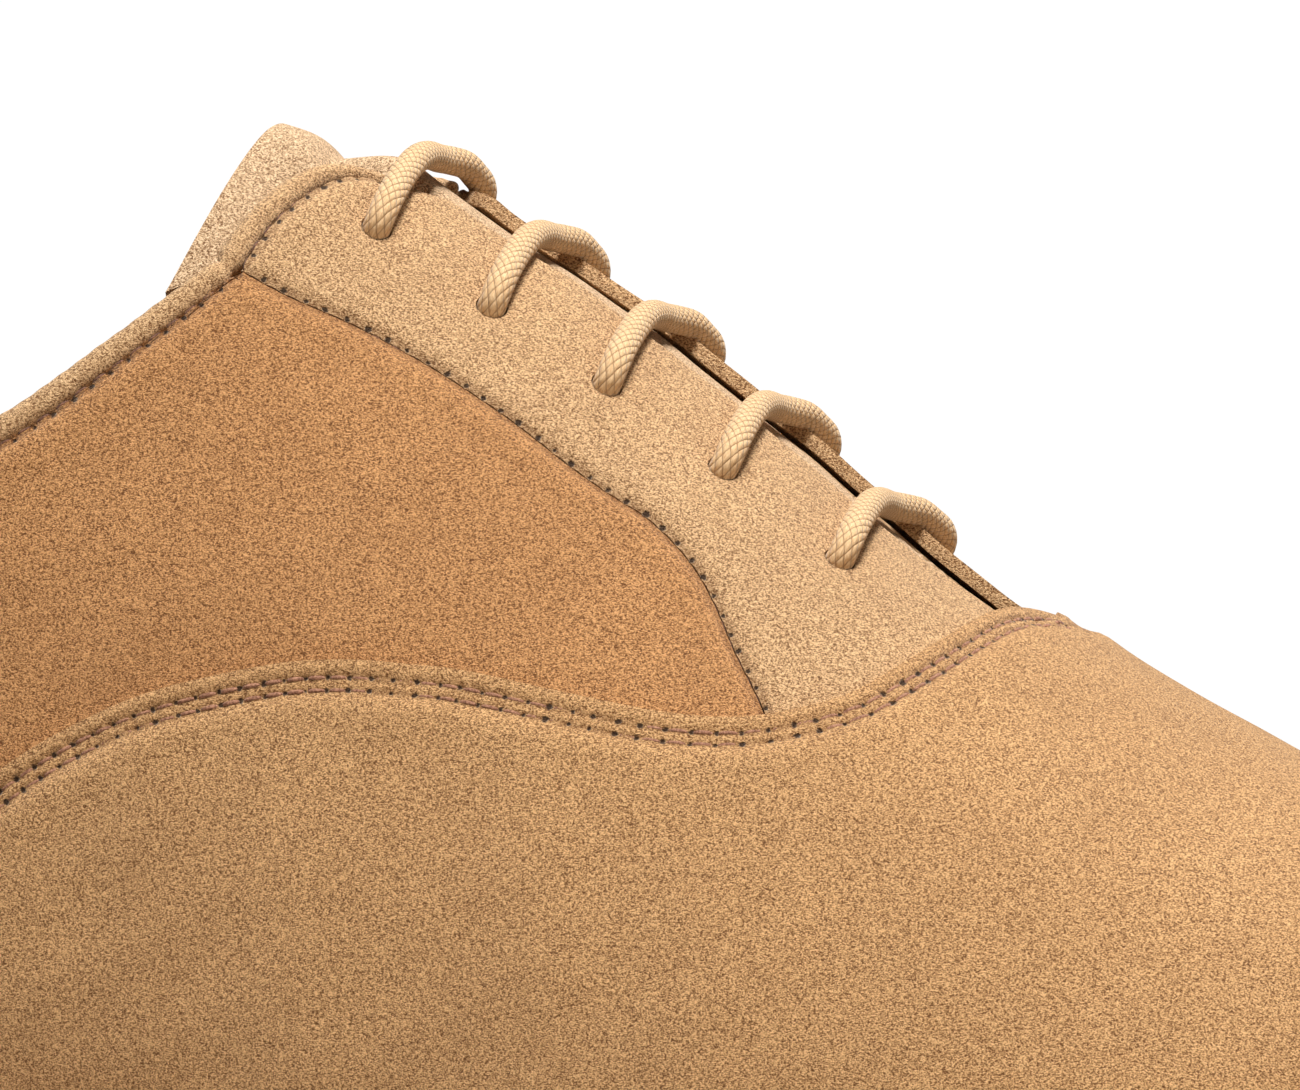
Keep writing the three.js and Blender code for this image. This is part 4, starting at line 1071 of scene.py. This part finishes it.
for side, side_name in BOTH_SIDES:
    seams = SEAMS[side]
    top = shifted(side, seams.topline, -SETBACK)
    coarse = slice(None, None, 2)
    upper = joined(np.concatenate([top[:-1], seams.facing[:1]]), seams.facing)[coarse]
    lower = joined(level(0, seams.waist, UPPER_FOOT, TOPLINE_STEPS), seams.under)[coarse]
    lower[-1] = seams.facing[-1]
    lower[0, 0] = upper[0, 0] = BACK_SEAM
    start = shifted(side, seams.top, -SETBACK)
    start[0], start[-1] = seams.facing[0], seams.throat[0]
    front = net(seams.facing[coarse], seams.throat[coarse], np.linspace(0, 1, 26), start)
    lining = skin(f"quarter_lining_{side_name}", [(side, net(lower, upper, front_dense(44))), (side, front)])
    grip_front = straight((2.5, 0.03), (2.2, 0.62), 60)
    raise_skin(
        lining, -1.8, [Line(side, top, 1.6), Line(side, start, 1.6), Line(side, grip_front, 0.0)],
        lambda p, arc, away, dip=counter_dip(side): dip(p),
    )
    thicken(lining, 1.0, 0, cutters=eyelet_cutters(side, EYELET_ROOM, 32, 2))
    keep(smooth(lining, 50), "lining_leather", [f"{side_name}_quarter_lining"], ["lining", "lining edge"])


def under_nets():
    nets = []
    for side, _ in BOTH_SIDES:
        seams = SEAMS[side]
        foot = straight(seams.under[-1], seams.throat[-1], 40)
        edge = shifted(side, joined(seams.under, foot)[::2], -1.2)
        start = station_at(UNDER_VAMP[0][0] + 2, 0)
        edge[0] = start, UPPER_FOOT
        crest = [station_at(TONGUE_BASE_X + 3), 1]
        upper = joined(edge, straight(edge[-1], crest, 5), level(crest[0], LAST, 1, 70))
        middle = station_at(56, 0)
        lower = joined(
            level(start, middle, UPPER_FOOT, len(upper) - 71), level(middle, LAST, UPPER_FOOT, 70),
        )
        nets.append((side, net(lower, upper, np.linspace(0, 1, 34))))
    return nets


vamp_lining = skin("vamp_lining_leather", under_nets())
raise_skin(vamp_lining, -1.5)
thicken(vamp_lining, 1.1, 0)
keep(smooth(vamp_lining, 50), "lining_leather", ["vamp_lining"], ["lining", "lining edge"])

# ------------------------------------------------------------------ the bottom

SOLE_EDGE = 5.5


def edge_point(side, s, reach):
    q = loop_place(side, s)
    flat = np.stack([foot_x(q), foot_y(q), 0 * q], -1)
    return flat + foot_normal(side, s) * reach


def stations(start, end, count):
    """Stations closer together round the heel and the toe."""
    s = np.linspace(0, LAST, 4000)
    weight = np.where((s < 1.4) | (s > 9.8), 3.0, 1.0)
    walked = np.concatenate([[0], np.cumsum((weight[1:] + weight[:-1]) / 2)])
    ends = np.interp([start, end], s, walked)
    return np.interp(np.linspace(*ends, count), walked, s)


def slab(name, places, reach, low, high, columns=16, rounding=0.5, segments=3):
    """A level layer of the bottom: a sheet laid on its lower heights, then drawn up to its upper ones."""
    a, b = edge_point(OUTER, places, reach), edge_point(INNER, places, reach)
    at = closer(columns // 2, 0.5, 1.5) / 2
    at = np.concatenate([at, 1 - at[-2::-1]])
    points = a[:, None] + (b - a)[:, None] * at[None, :, None]
    points[..., 2] = low(points[..., 0])
    piece = grid_piece(name, points[::-1])
    welded(piece)
    draw_up = {"value": (0, 0, 0.002)}
    in_edit_mode(piece, lambda: bpy.ops.mesh.extrude_region_move(TRANSFORM_OT_translate=draw_up))
    co = positions(piece)
    raised = np.array([v.select for v in piece.data.vertices])
    co[raised, 2] = high(co[raised, 0])
    place(piece, co)
    in_edit_mode(piece, lambda: bpy.ops.mesh.normals_make_consistent(inside=False))
    soften_edges(piece, rounding, segments)
    apply_modifiers(piece)
    return smooth(piece, 40)


def from_feather(d):
    return lambda x: feather_height(x) + d


def at_height(z):
    return lambda x: np.full_like(x, z)


HEEL_BREAST = station_at(-74, 0)
WHOLE = stations(0, LAST, 260)
HEEL = stations(0, HEEL_BREAST, 90)

outsole = slab("outsole_leather", WHOLE, SOLE_EDGE, from_feather(-8.5), from_feather(-4.6), 34, 0.9, 4)
keep(outsole, "sole_leather", ["outsole"], ["outsole leather"])
for name, node, reach, low, high in (
    ("heel_lift_top", "heel_lift_1", 4.7, at_height(14.95), from_feather(-8.8)),
    ("heel_lift_middle", "heel_lift_2", 4.3, at_height(10.65), at_height(14.6)),
    ("heel_lift_lower", "heel_lift_3", 4.2, at_height(6.35), at_height(10.3)),
):
    keep(slab(name, HEEL, reach, low, high, 24, 0.35), "sole_leather", [node], ["stacked heel"])
heel_tread = slab("heel_tread_rubber", HEEL, 4.1, at_height(0), at_height(6), 24, 0.6)
keep(heel_tread, "rubber", ["heel_top_piece"], ["heel rubber"])
sock = slab("sock_leather", WHOLE, -6, from_feather(2.0), from_feather(2.9), 40, 0.25, 2)
keep(sock, "lining_leather", ["sock_liner"], ["sock leather"])

# the welt: a ring of leather strip whose top is drawn flat, with one stitch row all round
around = np.concatenate([WHOLE, 2 * LAST - WHOLE[-2:0:-1]])


def ring_points(reach):
    outer = edge_point(OUTER, WHOLE, reach)
    inner = edge_point(INNER, WHOLE, reach)[-2:0:-1]
    return np.concatenate([outer, inner, outer[:1]])


WELT_REACH = (5.5, 5.2, 4.4, 3.6, 2.8, 2.0, 1.2, 0.4, -1, -3, -6.5)
WELT_TOP = -1.1
WELT_ROW, WELT_PITCH = 2.8, 2.8
welt_points = np.stack([ring_points(r) for r in WELT_REACH], 1)
welt_points[..., 2] = feather_height(welt_points[..., 0]) + WELT_TOP
welt_points[:, 0, 2] -= 0.25
welt_points[:, 2:5, 2] -= np.array([0.1, 0.28, 0.1])
welt = welded(grid_piece("welt_leather", welt_points[:, ::-1]))
welt_line = ring_points(WELT_ROW)
welt_line[:, 2] = feather_height(welt_line[:, 0]) + WELT_TOP
arc, away = along_line(positions(welt), welt_line)
mark_seam(welt, arc / WELT_PITCH, away)
in_edit_mode(welt, lambda: bpy.ops.mesh.normals_make_consistent(inside=False))
if welt.data.polygons[0].normal.z < 0:
    in_edit_mode(welt, lambda: bpy.ops.mesh.flip_normals())
thicken(welt, 3.2, 0.45)
keep(smooth(welt, 45), "sole_leather", ["welt"], ["welt leather", "welt leather"])
walked = arc_length(welt_line)
holes = np.arange(0, walked[-1], WELT_PITCH)
dots = np.stack([np.interp(holes, walked, column) for column in welt_line.T], -1)
dots[:, 2] -= 0.12
starts, ends = dots[:-1] * 0.92 + dots[1:] * 0.08, dots[:-1] * 0.08 + dots[1:] * 0.92
sew("welt_thread", starts, ends, np.tile([0.0, 0.0, 1.0], (len(starts), 1)), 0.62)

THREAD_FINISH = {"seam_thread": "seam thread", "topline_thread": "seam thread", "welt_thread": "welt thread"}
for stitches in thread_pieces():
    keep(stitches, "suede", [], [THREAD_FINISH.get(stitches.name, "vamp thread")])

# ------------------------------------------------------------------ materials


def group(name, inputs, outputs):
    tree = bpy.data.node_groups.new(name, "ShaderNodeTree")
    for socket, kind, default in inputs:
        entry = tree.interface.new_socket(socket, in_out="INPUT", socket_type=kind)
        if default is not None:
            entry.default_value = default
    for socket, kind in outputs:
        tree.interface.new_socket(socket, in_out="OUTPUT", socket_type=kind)
    given, made = tree.nodes.new("NodeGroupInput").outputs, tree.nodes.new("NodeGroupOutput").inputs
    return tree, Bench(tree, given, made)


FLOAT, VECTOR = "NodeSocketFloat", "NodeSocketVector"


class Bench:
    """A node tree with short ways to add nodes and wire them."""

    def __init__(self, tree, given=None, made=None):
        self.tree, self.given, self.made = tree, given, made

    def put(self, socket, value):
        if isinstance(value, bpy.types.NodeSocket):
            self.tree.links.new(value, socket)
        else:
            socket.default_value = value

    def node(self, kind, _out=0, _settings=None, **values):
        node = self.tree.nodes.new(kind)
        for key, value in (_settings or {}).items():
            setattr(node, key, value)
        for key, value in values.items():
            self.put(node.inputs[key.replace("_", " ")], value)
        return node.outputs[_out]

    def math(self, operation, a, b=0.0):
        node = self.tree.nodes.new("ShaderNodeMath")
        node.operation = operation
        self.put(node.inputs[0], a)
        self.put(node.inputs[1], b)
        return node.outputs[0]

    def add(self, a, b):
        return self.math("ADD", a, b)

    def minus(self, a, b):
        return self.math("SUBTRACT", a, b)

    def times(self, a, b):
        return self.math("MULTIPLY", a, b)

    def noise(self, vector, scale, detail=2.0, roughness=0.5, distortion=0.0):
        return self.node(
            "ShaderNodeTexNoise", Vector=vector, Scale=scale, Detail=detail, Roughness=roughness,
            Distortion=distortion,
        )

    def spread(self, value, low, high, to_low=0.0, to_high=1.0, smooth=False):
        node = self.tree.nodes.new("ShaderNodeMapRange")
        node.interpolation_type = "SMOOTHSTEP" if smooth else "LINEAR"
        for i, given in enumerate((value, low, high, to_low, to_high)):
            self.put(node.inputs[i], given)
        return node.outputs[0]

    def mix(self, share, a, b):
        node = self.tree.nodes.new("ShaderNodeMix")
        node.data_type = "RGBA"
        self.put(node.inputs[0], share)
        self.put(node.inputs[6], a)
        self.put(node.inputs[7], b)
        return node.outputs[2]

    def stretched(self, vector, scale):
        return self.node("ShaderNodeMapping", Vector=vector, Scale=scale)

    def use(self, tree, **values):
        node = self.tree.nodes.new("ShaderNodeGroup")
        node.node_tree = tree
        for key, value in values.items():
            self.put(node.inputs[key.replace("_", " ")], value)
        return node.outputs


def srgb(r, g, b):
    def linear(c):
        c /= 255
        return c / 12.92 if c <= 0.04045 else ((c + 0.055) / 1.055) ** 2.4

    return (linear(r), linear(g), linear(b), 1.0)


# the short fibres of suede: fine specks, brushed clouds and a height
NAP, bench = group(
    "nap", [("Vector", VECTOR, None), ("Grain", FLOAT, 2400.0)],
    [("Specks", FLOAT), ("Clouds", FLOAT), ("Height", FLOAT)],
)
vector, grain = bench.given["Vector"], bench.given["Grain"]
swirl = bench.stretched(vector, (0.85, 0.85, 1.25))
fine = bench.noise(swirl, grain, 3.0, 0.65, 0.35)
tufts = bench.noise(vector, bench.times(grain, 0.55), 2.0, 0.6, 0.4)
blend_of = bench.add(bench.times(fine, 0.72), bench.times(tufts, 0.28))
specks = bench.spread(blend_of, 0.415, 0.585)
clouds = bench.spread(bench.noise(vector, 62.0, 3.0, 0.55, 0.6), 0.34, 0.66)
bench.put(bench.made["Specks"], specks)
bench.put(bench.made["Clouds"], clouds)
bench.put(bench.made["Height"], blend_of)

# needle holes along a seam: reads how many stitches along, and how far from the first row
HOLES, bench = group(
    "needle holes",
    [("Seam", VECTOR, None), ("Row", FLOAT, 1.0), ("Pitch", FLOAT, PITCH), ("Size", FLOAT, 0.4)],
    [("Holes", FLOAT), ("Groove", FLOAT)],
)
parts = bench.tree.nodes.new("ShaderNodeSeparateXYZ")
bench.put(parts.inputs[0], bench.given["Seam"])
beside = bench.minus(bench.math("FRACT", bench.add(parts.outputs[0], 0.5)), 0.5)
number = bench.add(bench.math("FLOOR", bench.add(parts.outputs[0], 0.5)), 0.37)
luck = bench.node("ShaderNodeTexWhiteNoise", 0, {"noise_dimensions": "1D"}, W=number)
other = bench.node("ShaderNodeTexWhiteNoise", 0, {"noise_dimensions": "1D"}, W=bench.times(number, 3.1))
slip = bench.spread(luck, 0.0, 1.0, -0.16, 0.16)
dx = bench.add(bench.times(beside, bench.given["Pitch"]), slip)
dy = bench.minus(parts.outputs[1], bench.given["Row"])
frayed = bench.spread(bench.noise(bench.given["Seam"], 2.6, 2.0, 0.6), 0.3, 0.7, -0.1, 0.1)
reach = bench.math("SQRT", bench.add(bench.times(dx, dx), bench.times(dy, dy)))
reach = bench.add(reach, frayed)
size = bench.times(bench.given["Size"], bench.spread(other, 0, 1, 0.75, 1.3))
share = bench.math("DIVIDE", reach, size)
# Holes and Groove mask where the materials paint shade into the needle holes and along the stitch row
bench.put(bench.made["Holes"], bench.spread(share, 0.55, 1.15, 1.0, 0.0, True))
bench.put(bench.made["Groove"], bench.spread(bench.math("ABSOLUTE", dy), 0.1, 0.5, 1.0, 0.0, True))

# braided yarns: two sets of yarns winding both ways round, over and under each other
BRAID, bench = group(
    "braid", [("Vector", VECTOR, None), ("Yarns", FLOAT, 9.0), ("Pitch", FLOAT, 1.25)],
    [("Height", FLOAT), ("Gaps", FLOAT)],
)
parts = bench.tree.nodes.new("ShaderNodeSeparateXYZ")
bench.put(parts.inputs[0], bench.given["Vector"])
turned = bench.times(parts.outputs[0], bench.given["Yarns"])
along = bench.math("DIVIDE", parts.outputs[1], bench.given["Pitch"])
right, left = bench.add(turned, along), bench.minus(turned, along)
right_part, left_part = bench.math("FRACT", right), bench.math("FRACT", left)
over = bench.math("MODULO", bench.add(bench.math("FLOOR", right), bench.math("FLOOR", left)), 2.0)
over = bench.math("GREATER_THAN", bench.math("ABSOLUTE", over), 0.5)
crown_right = bench.math("SINE", bench.times(right_part, math.pi))
crown_left = bench.math("SINE", bench.times(left_part, math.pi))
ends_right = bench.math("POWER", crown_left, 0.35)
ends_left = bench.math("POWER", crown_right, 0.35)
one = bench.times(bench.math("POWER", crown_right, 0.6), ends_right)
two = bench.times(bench.math("POWER", crown_left, 0.6), ends_left)
picked = bench.add(bench.times(one, over), bench.times(two, bench.minus(1.0, over)))
bench.put(bench.made["Height"], picked)
# Gaps masks where the lace paints shade between the yarns
bench.put(bench.made["Gaps"], bench.spread(picked, 0.1, 0.55, 1.0, 0.0, True))

# the grain of smooth leather: pebbles, pores and creases
GRAIN, bench = group(
    "leather grain", [("Vector", VECTOR, None), ("Scale", FLOAT, 900.0)],
    [("Height", FLOAT), ("Pores", FLOAT), ("Clouds", FLOAT)],
)
cells = bench.node(
    "ShaderNodeTexVoronoi", 0, {"feature": "DISTANCE_TO_EDGE"}, Vector=bench.given["Vector"],
    Scale=bench.given["Scale"], Randomness=1.0,
)
fine = bench.noise(bench.given["Vector"], bench.times(bench.given["Scale"], 2.3), 3.0, 0.6)
bench.put(bench.made["Height"], bench.add(bench.spread(cells, 0.0, 0.12), bench.times(fine, 0.5)))
bench.put(bench.made["Pores"], bench.spread(cells, 0.0, 0.05, 1.0, 0.0))
bench.put(bench.made["Clouds"], bench.spread(bench.noise(bench.given["Vector"], 40.0, 4.0, 0.6), 0.3, 0.7))


MATERIALS = {}


class Finish(Bench):
    """One material: its own shader, with the plain numbers set on it."""

    def __init__(self, name, **plain):
        self.material = MATERIALS[name] = bpy.data.materials.new(name)
        self.material.use_nodes = True
        super().__init__(self.material.node_tree)
        self.shader = next(n for n in self.tree.nodes if n.type == "BSDF_PRINCIPLED")
        for key, value in plain.items():
            self.shader.inputs[key.replace("_", " ")].default_value = value
        self.place = self.node("ShaderNodeTexCoord", 3)

    def seam(self):
        return self.node("ShaderNodeAttribute", 1, {"attribute_name": "seam"})

    def done(self, colour, height=None, distance=0.0002, strength=1.0, roughness=None):
        self.put(self.shader.inputs["Base Color"], colour)
        if roughness is not None:
            self.put(self.shader.inputs["Roughness"], roughness)
        if height is not None:
            bump = self.node("ShaderNodeBump", 0, None, Height=height, Distance=distance, Strength=strength)
            self.put(self.shader.inputs["Normal"], bump)


def suede(name, colour, rows=(), grain=6400.0):
    """Napped suede: specks and clouds, paler where it is brushed up, with painted shade in its needle holes
    and along its stitch grooves.
    """
    m = Finish(name, Roughness=0.95, Specular_IOR_Level=0.12, Sheen_Weight=0.22, Sheen_Roughness=0.5)
    m.shader.inputs["Sheen Tint"].default_value = (1.0, 0.87, 0.7, 1.0)
    nap = m.use(NAP, Vector=m.place, Grain=grain)
    base = srgb(*colour)
    deep = (base[0] * 0.30, base[1] * 0.21, base[2] * 0.15, 1.0)
    light = (min(base[0] * 1.6, 1), min(base[1] * 1.76, 1), min(base[2] * 2.0, 1), 1.0)
    low = m.mix(m.spread(nap["Specks"], 0.0, 0.5), deep, base)
    speckled = m.mix(m.spread(nap["Specks"], 0.5, 1.0), low, light)
    shade = m.mix(m.times(nap["Clouds"], 0.1), speckled, deep)
    height = nap["Height"]
    for row in rows:
        marks = m.use(HOLES, Seam=m.seam(), Row=row, Size=0.25)
        # painted shade: the stitch groove is darkened towards the deep tone and the needle holes are painted
        # nearly black
        shade = m.mix(m.times(marks["Groove"], 0.34), shade, deep)
        shade = m.mix(m.times(marks["Holes"], 0.92), shade, srgb(38, 20, 12))
        height = m.minus(height, m.times(marks["Holes"], 0.6))
    m.done(shade, height, 0.00034, 1.0)


FIRST, SECOND = FIRST_ROW, FIRST_ROW + VAMP_ROWS[1] - VAMP_ROWS[0]
suede("facing suede", (196, 153, 106), (FIRST,))
suede("quarter suede", (183, 129, 78), (FIRST,))
suede("vamp suede", (191, 143, 92), (FIRST, SECOND))
suede("tongue suede", (206, 168, 126))
suede("rolled suede", (198, 155, 108))
suede("cut suede", (226, 194, 154), grain=7000.0)


def lining_leather(name, colour, roughness=0.55, rows=(), scale=900.0):
    """Smooth leather with grain, pores and worn clouds, and painted shade in its needle holes and along its
    stitch groove.
    """
    m = Finish(name, Roughness=roughness, Specular_IOR_Level=0.35)
    skin_of = m.use(GRAIN, Vector=m.place, Scale=scale)
    base = srgb(*colour)
    worn = (base[0] * 0.78, base[1] * 0.72, base[2] * 0.64, 1.0)
    pore = (worn[0] * 0.6, worn[1] * 0.55, worn[2] * 0.5, 1.0)
    shade = m.mix(m.times(skin_of["Clouds"], 0.5), base, worn)
    shade = m.mix(m.times(skin_of["Pores"], 0.35), shade, pore)
    height = skin_of["Height"]
    for row in rows:
        marks = m.use(HOLES, Seam=m.seam(), Row=row, Size=0.42)
        # painted shade: the worn tone also darkens the stitch groove, and a dark brown fills the needle holes
        shade = m.mix(m.times(marks["Groove"], 0.25), shade, worn)
        shade = m.mix(m.times(marks["Holes"], 0.85), shade, srgb(70, 42, 26))
        height = m.minus(height, m.times(marks["Groove"], 1.5))
    sheen_lost = m.spread(skin_of["Clouds"], 0, 1, roughness - 0.08, roughness + 0.12)
    m.done(shade, height, 0.00012, 0.6, sheen_lost)


lining_leather("lining", (206, 170, 128), rows=(FIRST,))
lining_leather("lining edge", (176, 136, 94), 0.8)
lining_leather("sock leather", (196, 156, 112), 0.5, scale=700.0)
lining_leather("outsole leather", (150, 98, 58), 0.42, scale=500.0)
lining_leather("welt leather", (140, 92, 54), 0.5, scale=600.0)


def stacked(name):
    """The heel's edge: thin layers of leather, stained and waxed."""
    m = Finish(name, Roughness=0.4, Specular_IOR_Level=0.5, Coat_Weight=0.25, Coat_Roughness=0.25)
    grain = m.use(GRAIN, Vector=m.stretched(m.place, (1, 1, 3.0)), Scale=420.0)
    fibres = m.noise(m.stretched(m.place, (0.35, 0.35, 6.0)), 700.0, 3.0, 0.6)
    shade = m.mix(m.spread(fibres, 0.35, 0.65), srgb(96, 58, 34), srgb(150, 100, 62))
    shade = m.mix(m.times(grain["Clouds"], 0.4), shade, srgb(84, 50, 30))
    height = m.add(fibres, m.times(grain["Height"], 0.3))
    m.done(shade, height, 0.00012, 0.5, m.spread(fibres, 0.3, 0.7, 0.34, 0.55))


stacked("stacked heel")


def plain_grained(name, dark, light, scale, roughness, metallic=0.0, distance=0.0001, stretch=(1, 1, 1)):
    """A finish of two close shades and a fine surface, for hard parts and boards."""
    m = Finish(name, Roughness=roughness, Metallic=metallic)
    spot = m.stretched(m.place, stretch)
    coarse, fine = m.noise(spot, scale, 4.0, 0.6, 0.3), m.noise(spot, scale * 4, 2.0, 0.6)
    shade = m.mix(m.spread(coarse, 0.35, 0.65), srgb(*dark), srgb(*light))
    dull = m.spread(coarse, 0.3, 0.7, max(roughness - 0.08, 0.05), min(roughness + 0.1, 1))
    m.done(shade, m.add(coarse, m.times(fine, 0.5)), distance, 0.7, dull)


plain_grained("heel rubber", (30, 26, 23), (48, 42, 37), 900.0, 0.75)
plain_grained("fibre board", (150, 112, 74), (188, 150, 108), 700.0, 0.85)
plain_grained("cork", (120, 82, 48), (196, 152, 100), 380.0, 0.9, distance=0.0003)
plain_grained("spring steel", (120, 124, 130), (160, 164, 170), 300.0, 0.35, 1.0, 0.00003, (0.2, 3.0, 1.0))
plain_grained("nail steel", (110, 112, 116), (150, 152, 156), 900.0, 0.42, 1.0, 0.00003)
plain_grained("brass", (166, 132, 62), (196, 162, 88), 600.0, 0.32, 1.0, 0.00003)
plain_grained("lace tip", (178, 134, 92), (206, 162, 116), 1100.0, 0.32, 0.0, 0.00004)


def canvas(name):
    m = Finish(name, Roughness=0.9)
    ways = [
        m.node("ShaderNodeTexWave", 0, {"bands_direction": way}, Vector=m.place, Scale=900.0, Distortion=0.4)
        for way in ("X", "Z")
    ]
    woven = m.math("MAXIMUM", *ways)
    m.done(m.mix(woven, srgb(186, 176, 152), srgb(222, 214, 194)), woven, 0.0002, 0.8)


canvas("canvas")


def cotton(name):
    """The braided cotton of the lace, with loose fibres over its yarns and painted shade in the gaps between
    them.
    """
    m = Finish(name, Roughness=0.85, Specular_IOR_Level=0.2, Sheen_Weight=0.25, Sheen_Roughness=0.4)
    m.shader.inputs["Sheen Tint"].default_value = (1.0, 0.9, 0.76, 1.0)
    around = m.node("ShaderNodeUVMap", 0, {"uv_map": "around"})
    braid = m.use(BRAID, Vector=around, Yarns=10.0, Pitch=1.0)
    fibres = m.noise(m.stretched(around, (26.0, 1.1, 1.0)), 3.2, 3.0, 0.65, 0.6)
    worn = m.noise(m.place, 500.0, 3.0, 0.6)
    base, pale, gap = srgb(204, 160, 112), srgb(232, 198, 152), srgb(136, 88, 48)
    shade = m.mix(m.spread(fibres, 0.36, 0.64), base, pale)
    shade = m.mix(m.times(m.spread(worn, 0.4, 0.65), 0.25), shade, base)
    # painted shade in the gaps between the yarns
    shade = m.mix(m.times(braid["Gaps"], 0.6), shade, gap)
    height = m.add(braid["Height"], m.times(fibres, 0.3))
    m.done(shade, height, 0.00016, 1.0)


cotton("cotton lace")


def thread(name, dark, light, scale=5200.0):
    """Twisted sewing thread."""
    m = Finish(name, Roughness=0.7, Specular_IOR_Level=0.25, Sheen_Weight=0.15)
    twist = m.noise(m.place, scale, 2.0, 0.6, 0.5)
    m.done(m.mix(m.spread(twist, 0.35, 0.65), srgb(*dark), srgb(*light)), twist, 0.0001, 0.8)


thread("vamp thread", (112, 70, 48), (176, 126, 96))
thread("seam thread", (70, 40, 26), (136, 92, 66))
thread("welt thread", (176, 142, 100), (218, 188, 146), 3000.0)

# ------------------------------------------------------------------ every piece on its body, with its finish

for piece, body, slot, nodes, finishes in PIECES.values():
    # the sheets and cutters left empty or spare slots
    piece.data.materials.clear()
    for finish_name in finishes:
        piece.data.materials.append(MATERIALS[finish_name])
    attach(piece, body)
    if nodes:
        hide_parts(*nodes)

CARRIED = {
    "toe_puff": "fibre board", "vamp_doubler": "canvas", "heel_counter": "fibre board",
    "insole": "fibre board", "cork_filler": "cork", "shank": "spring steel",
}
for name, node in NODES.items():
    if node.hide_render:
        continue
    finish_name = CARRIED.get(name) or ("brass" if name.startswith("eyelet") else "nail steel")
    for material_slot in node.material_slots:
        material_slot.material = MATERIALS[finish_name]

# ------------------------------------------------------------------ floor and light

bpy.ops.object.select_all(action="DESELECT")
bpy.ops.mesh.primitive_plane_add(size=6)
floor = bpy.context.active_object
floor.name = "floor"
ground = Finish("pale floor", Roughness=0.6, Specular_IOR_Level=0.2)
ground.done((0.42, 0.385, 0.345, 1), ground.noise(ground.place, 60.0, 4.0, 0.6), 0.0002, 0.1)
floor.data.materials.append(ground.material)

world = bpy.data.worlds.new("studio")
world.use_nodes = True
bpy.context.scene.world = world
sky = Bench(world.node_tree)
background = next(n for n in world.node_tree.nodes if n.type == "BACKGROUND")
background.inputs["Color"].default_value = (1, 1, 1, 1)
seen = sky.node("ShaderNodeLightPath", 0)
sky.put(background.inputs["Strength"], sky.spread(seen, 0.0, 1.0, 0.09, 1.02))


def lamp(name, spot, aim, size, power, tint=(1, 1, 1)):
    data = bpy.data.lights.new(name, "AREA")
    data.shape = "DISK"
    data.size, data.energy, data.color = size, power, tint
    light = bpy.data.objects.new(name, data)
    light.location = spot
    light.rotation_euler = (Vector(aim) - Vector(spot)).to_track_quat("-Z", "Y").to_euler()
    bpy.context.scene.collection.objects.link(light)


CENTRE = (0.0, 0.0, 0.06)
lamp("key", (0.28, -0.5, 1.18), CENTRE, 0.4, 27.5, (0.97, 1, 1.04))
lamp("fill", (0.3, -1.2, 0.45), CENTRE, 0.9, 0.9, (1, 0.9, 0.78))
lamp("back", (0.15, 0.7, 1.05), CENTRE, 0.7, 6.5)
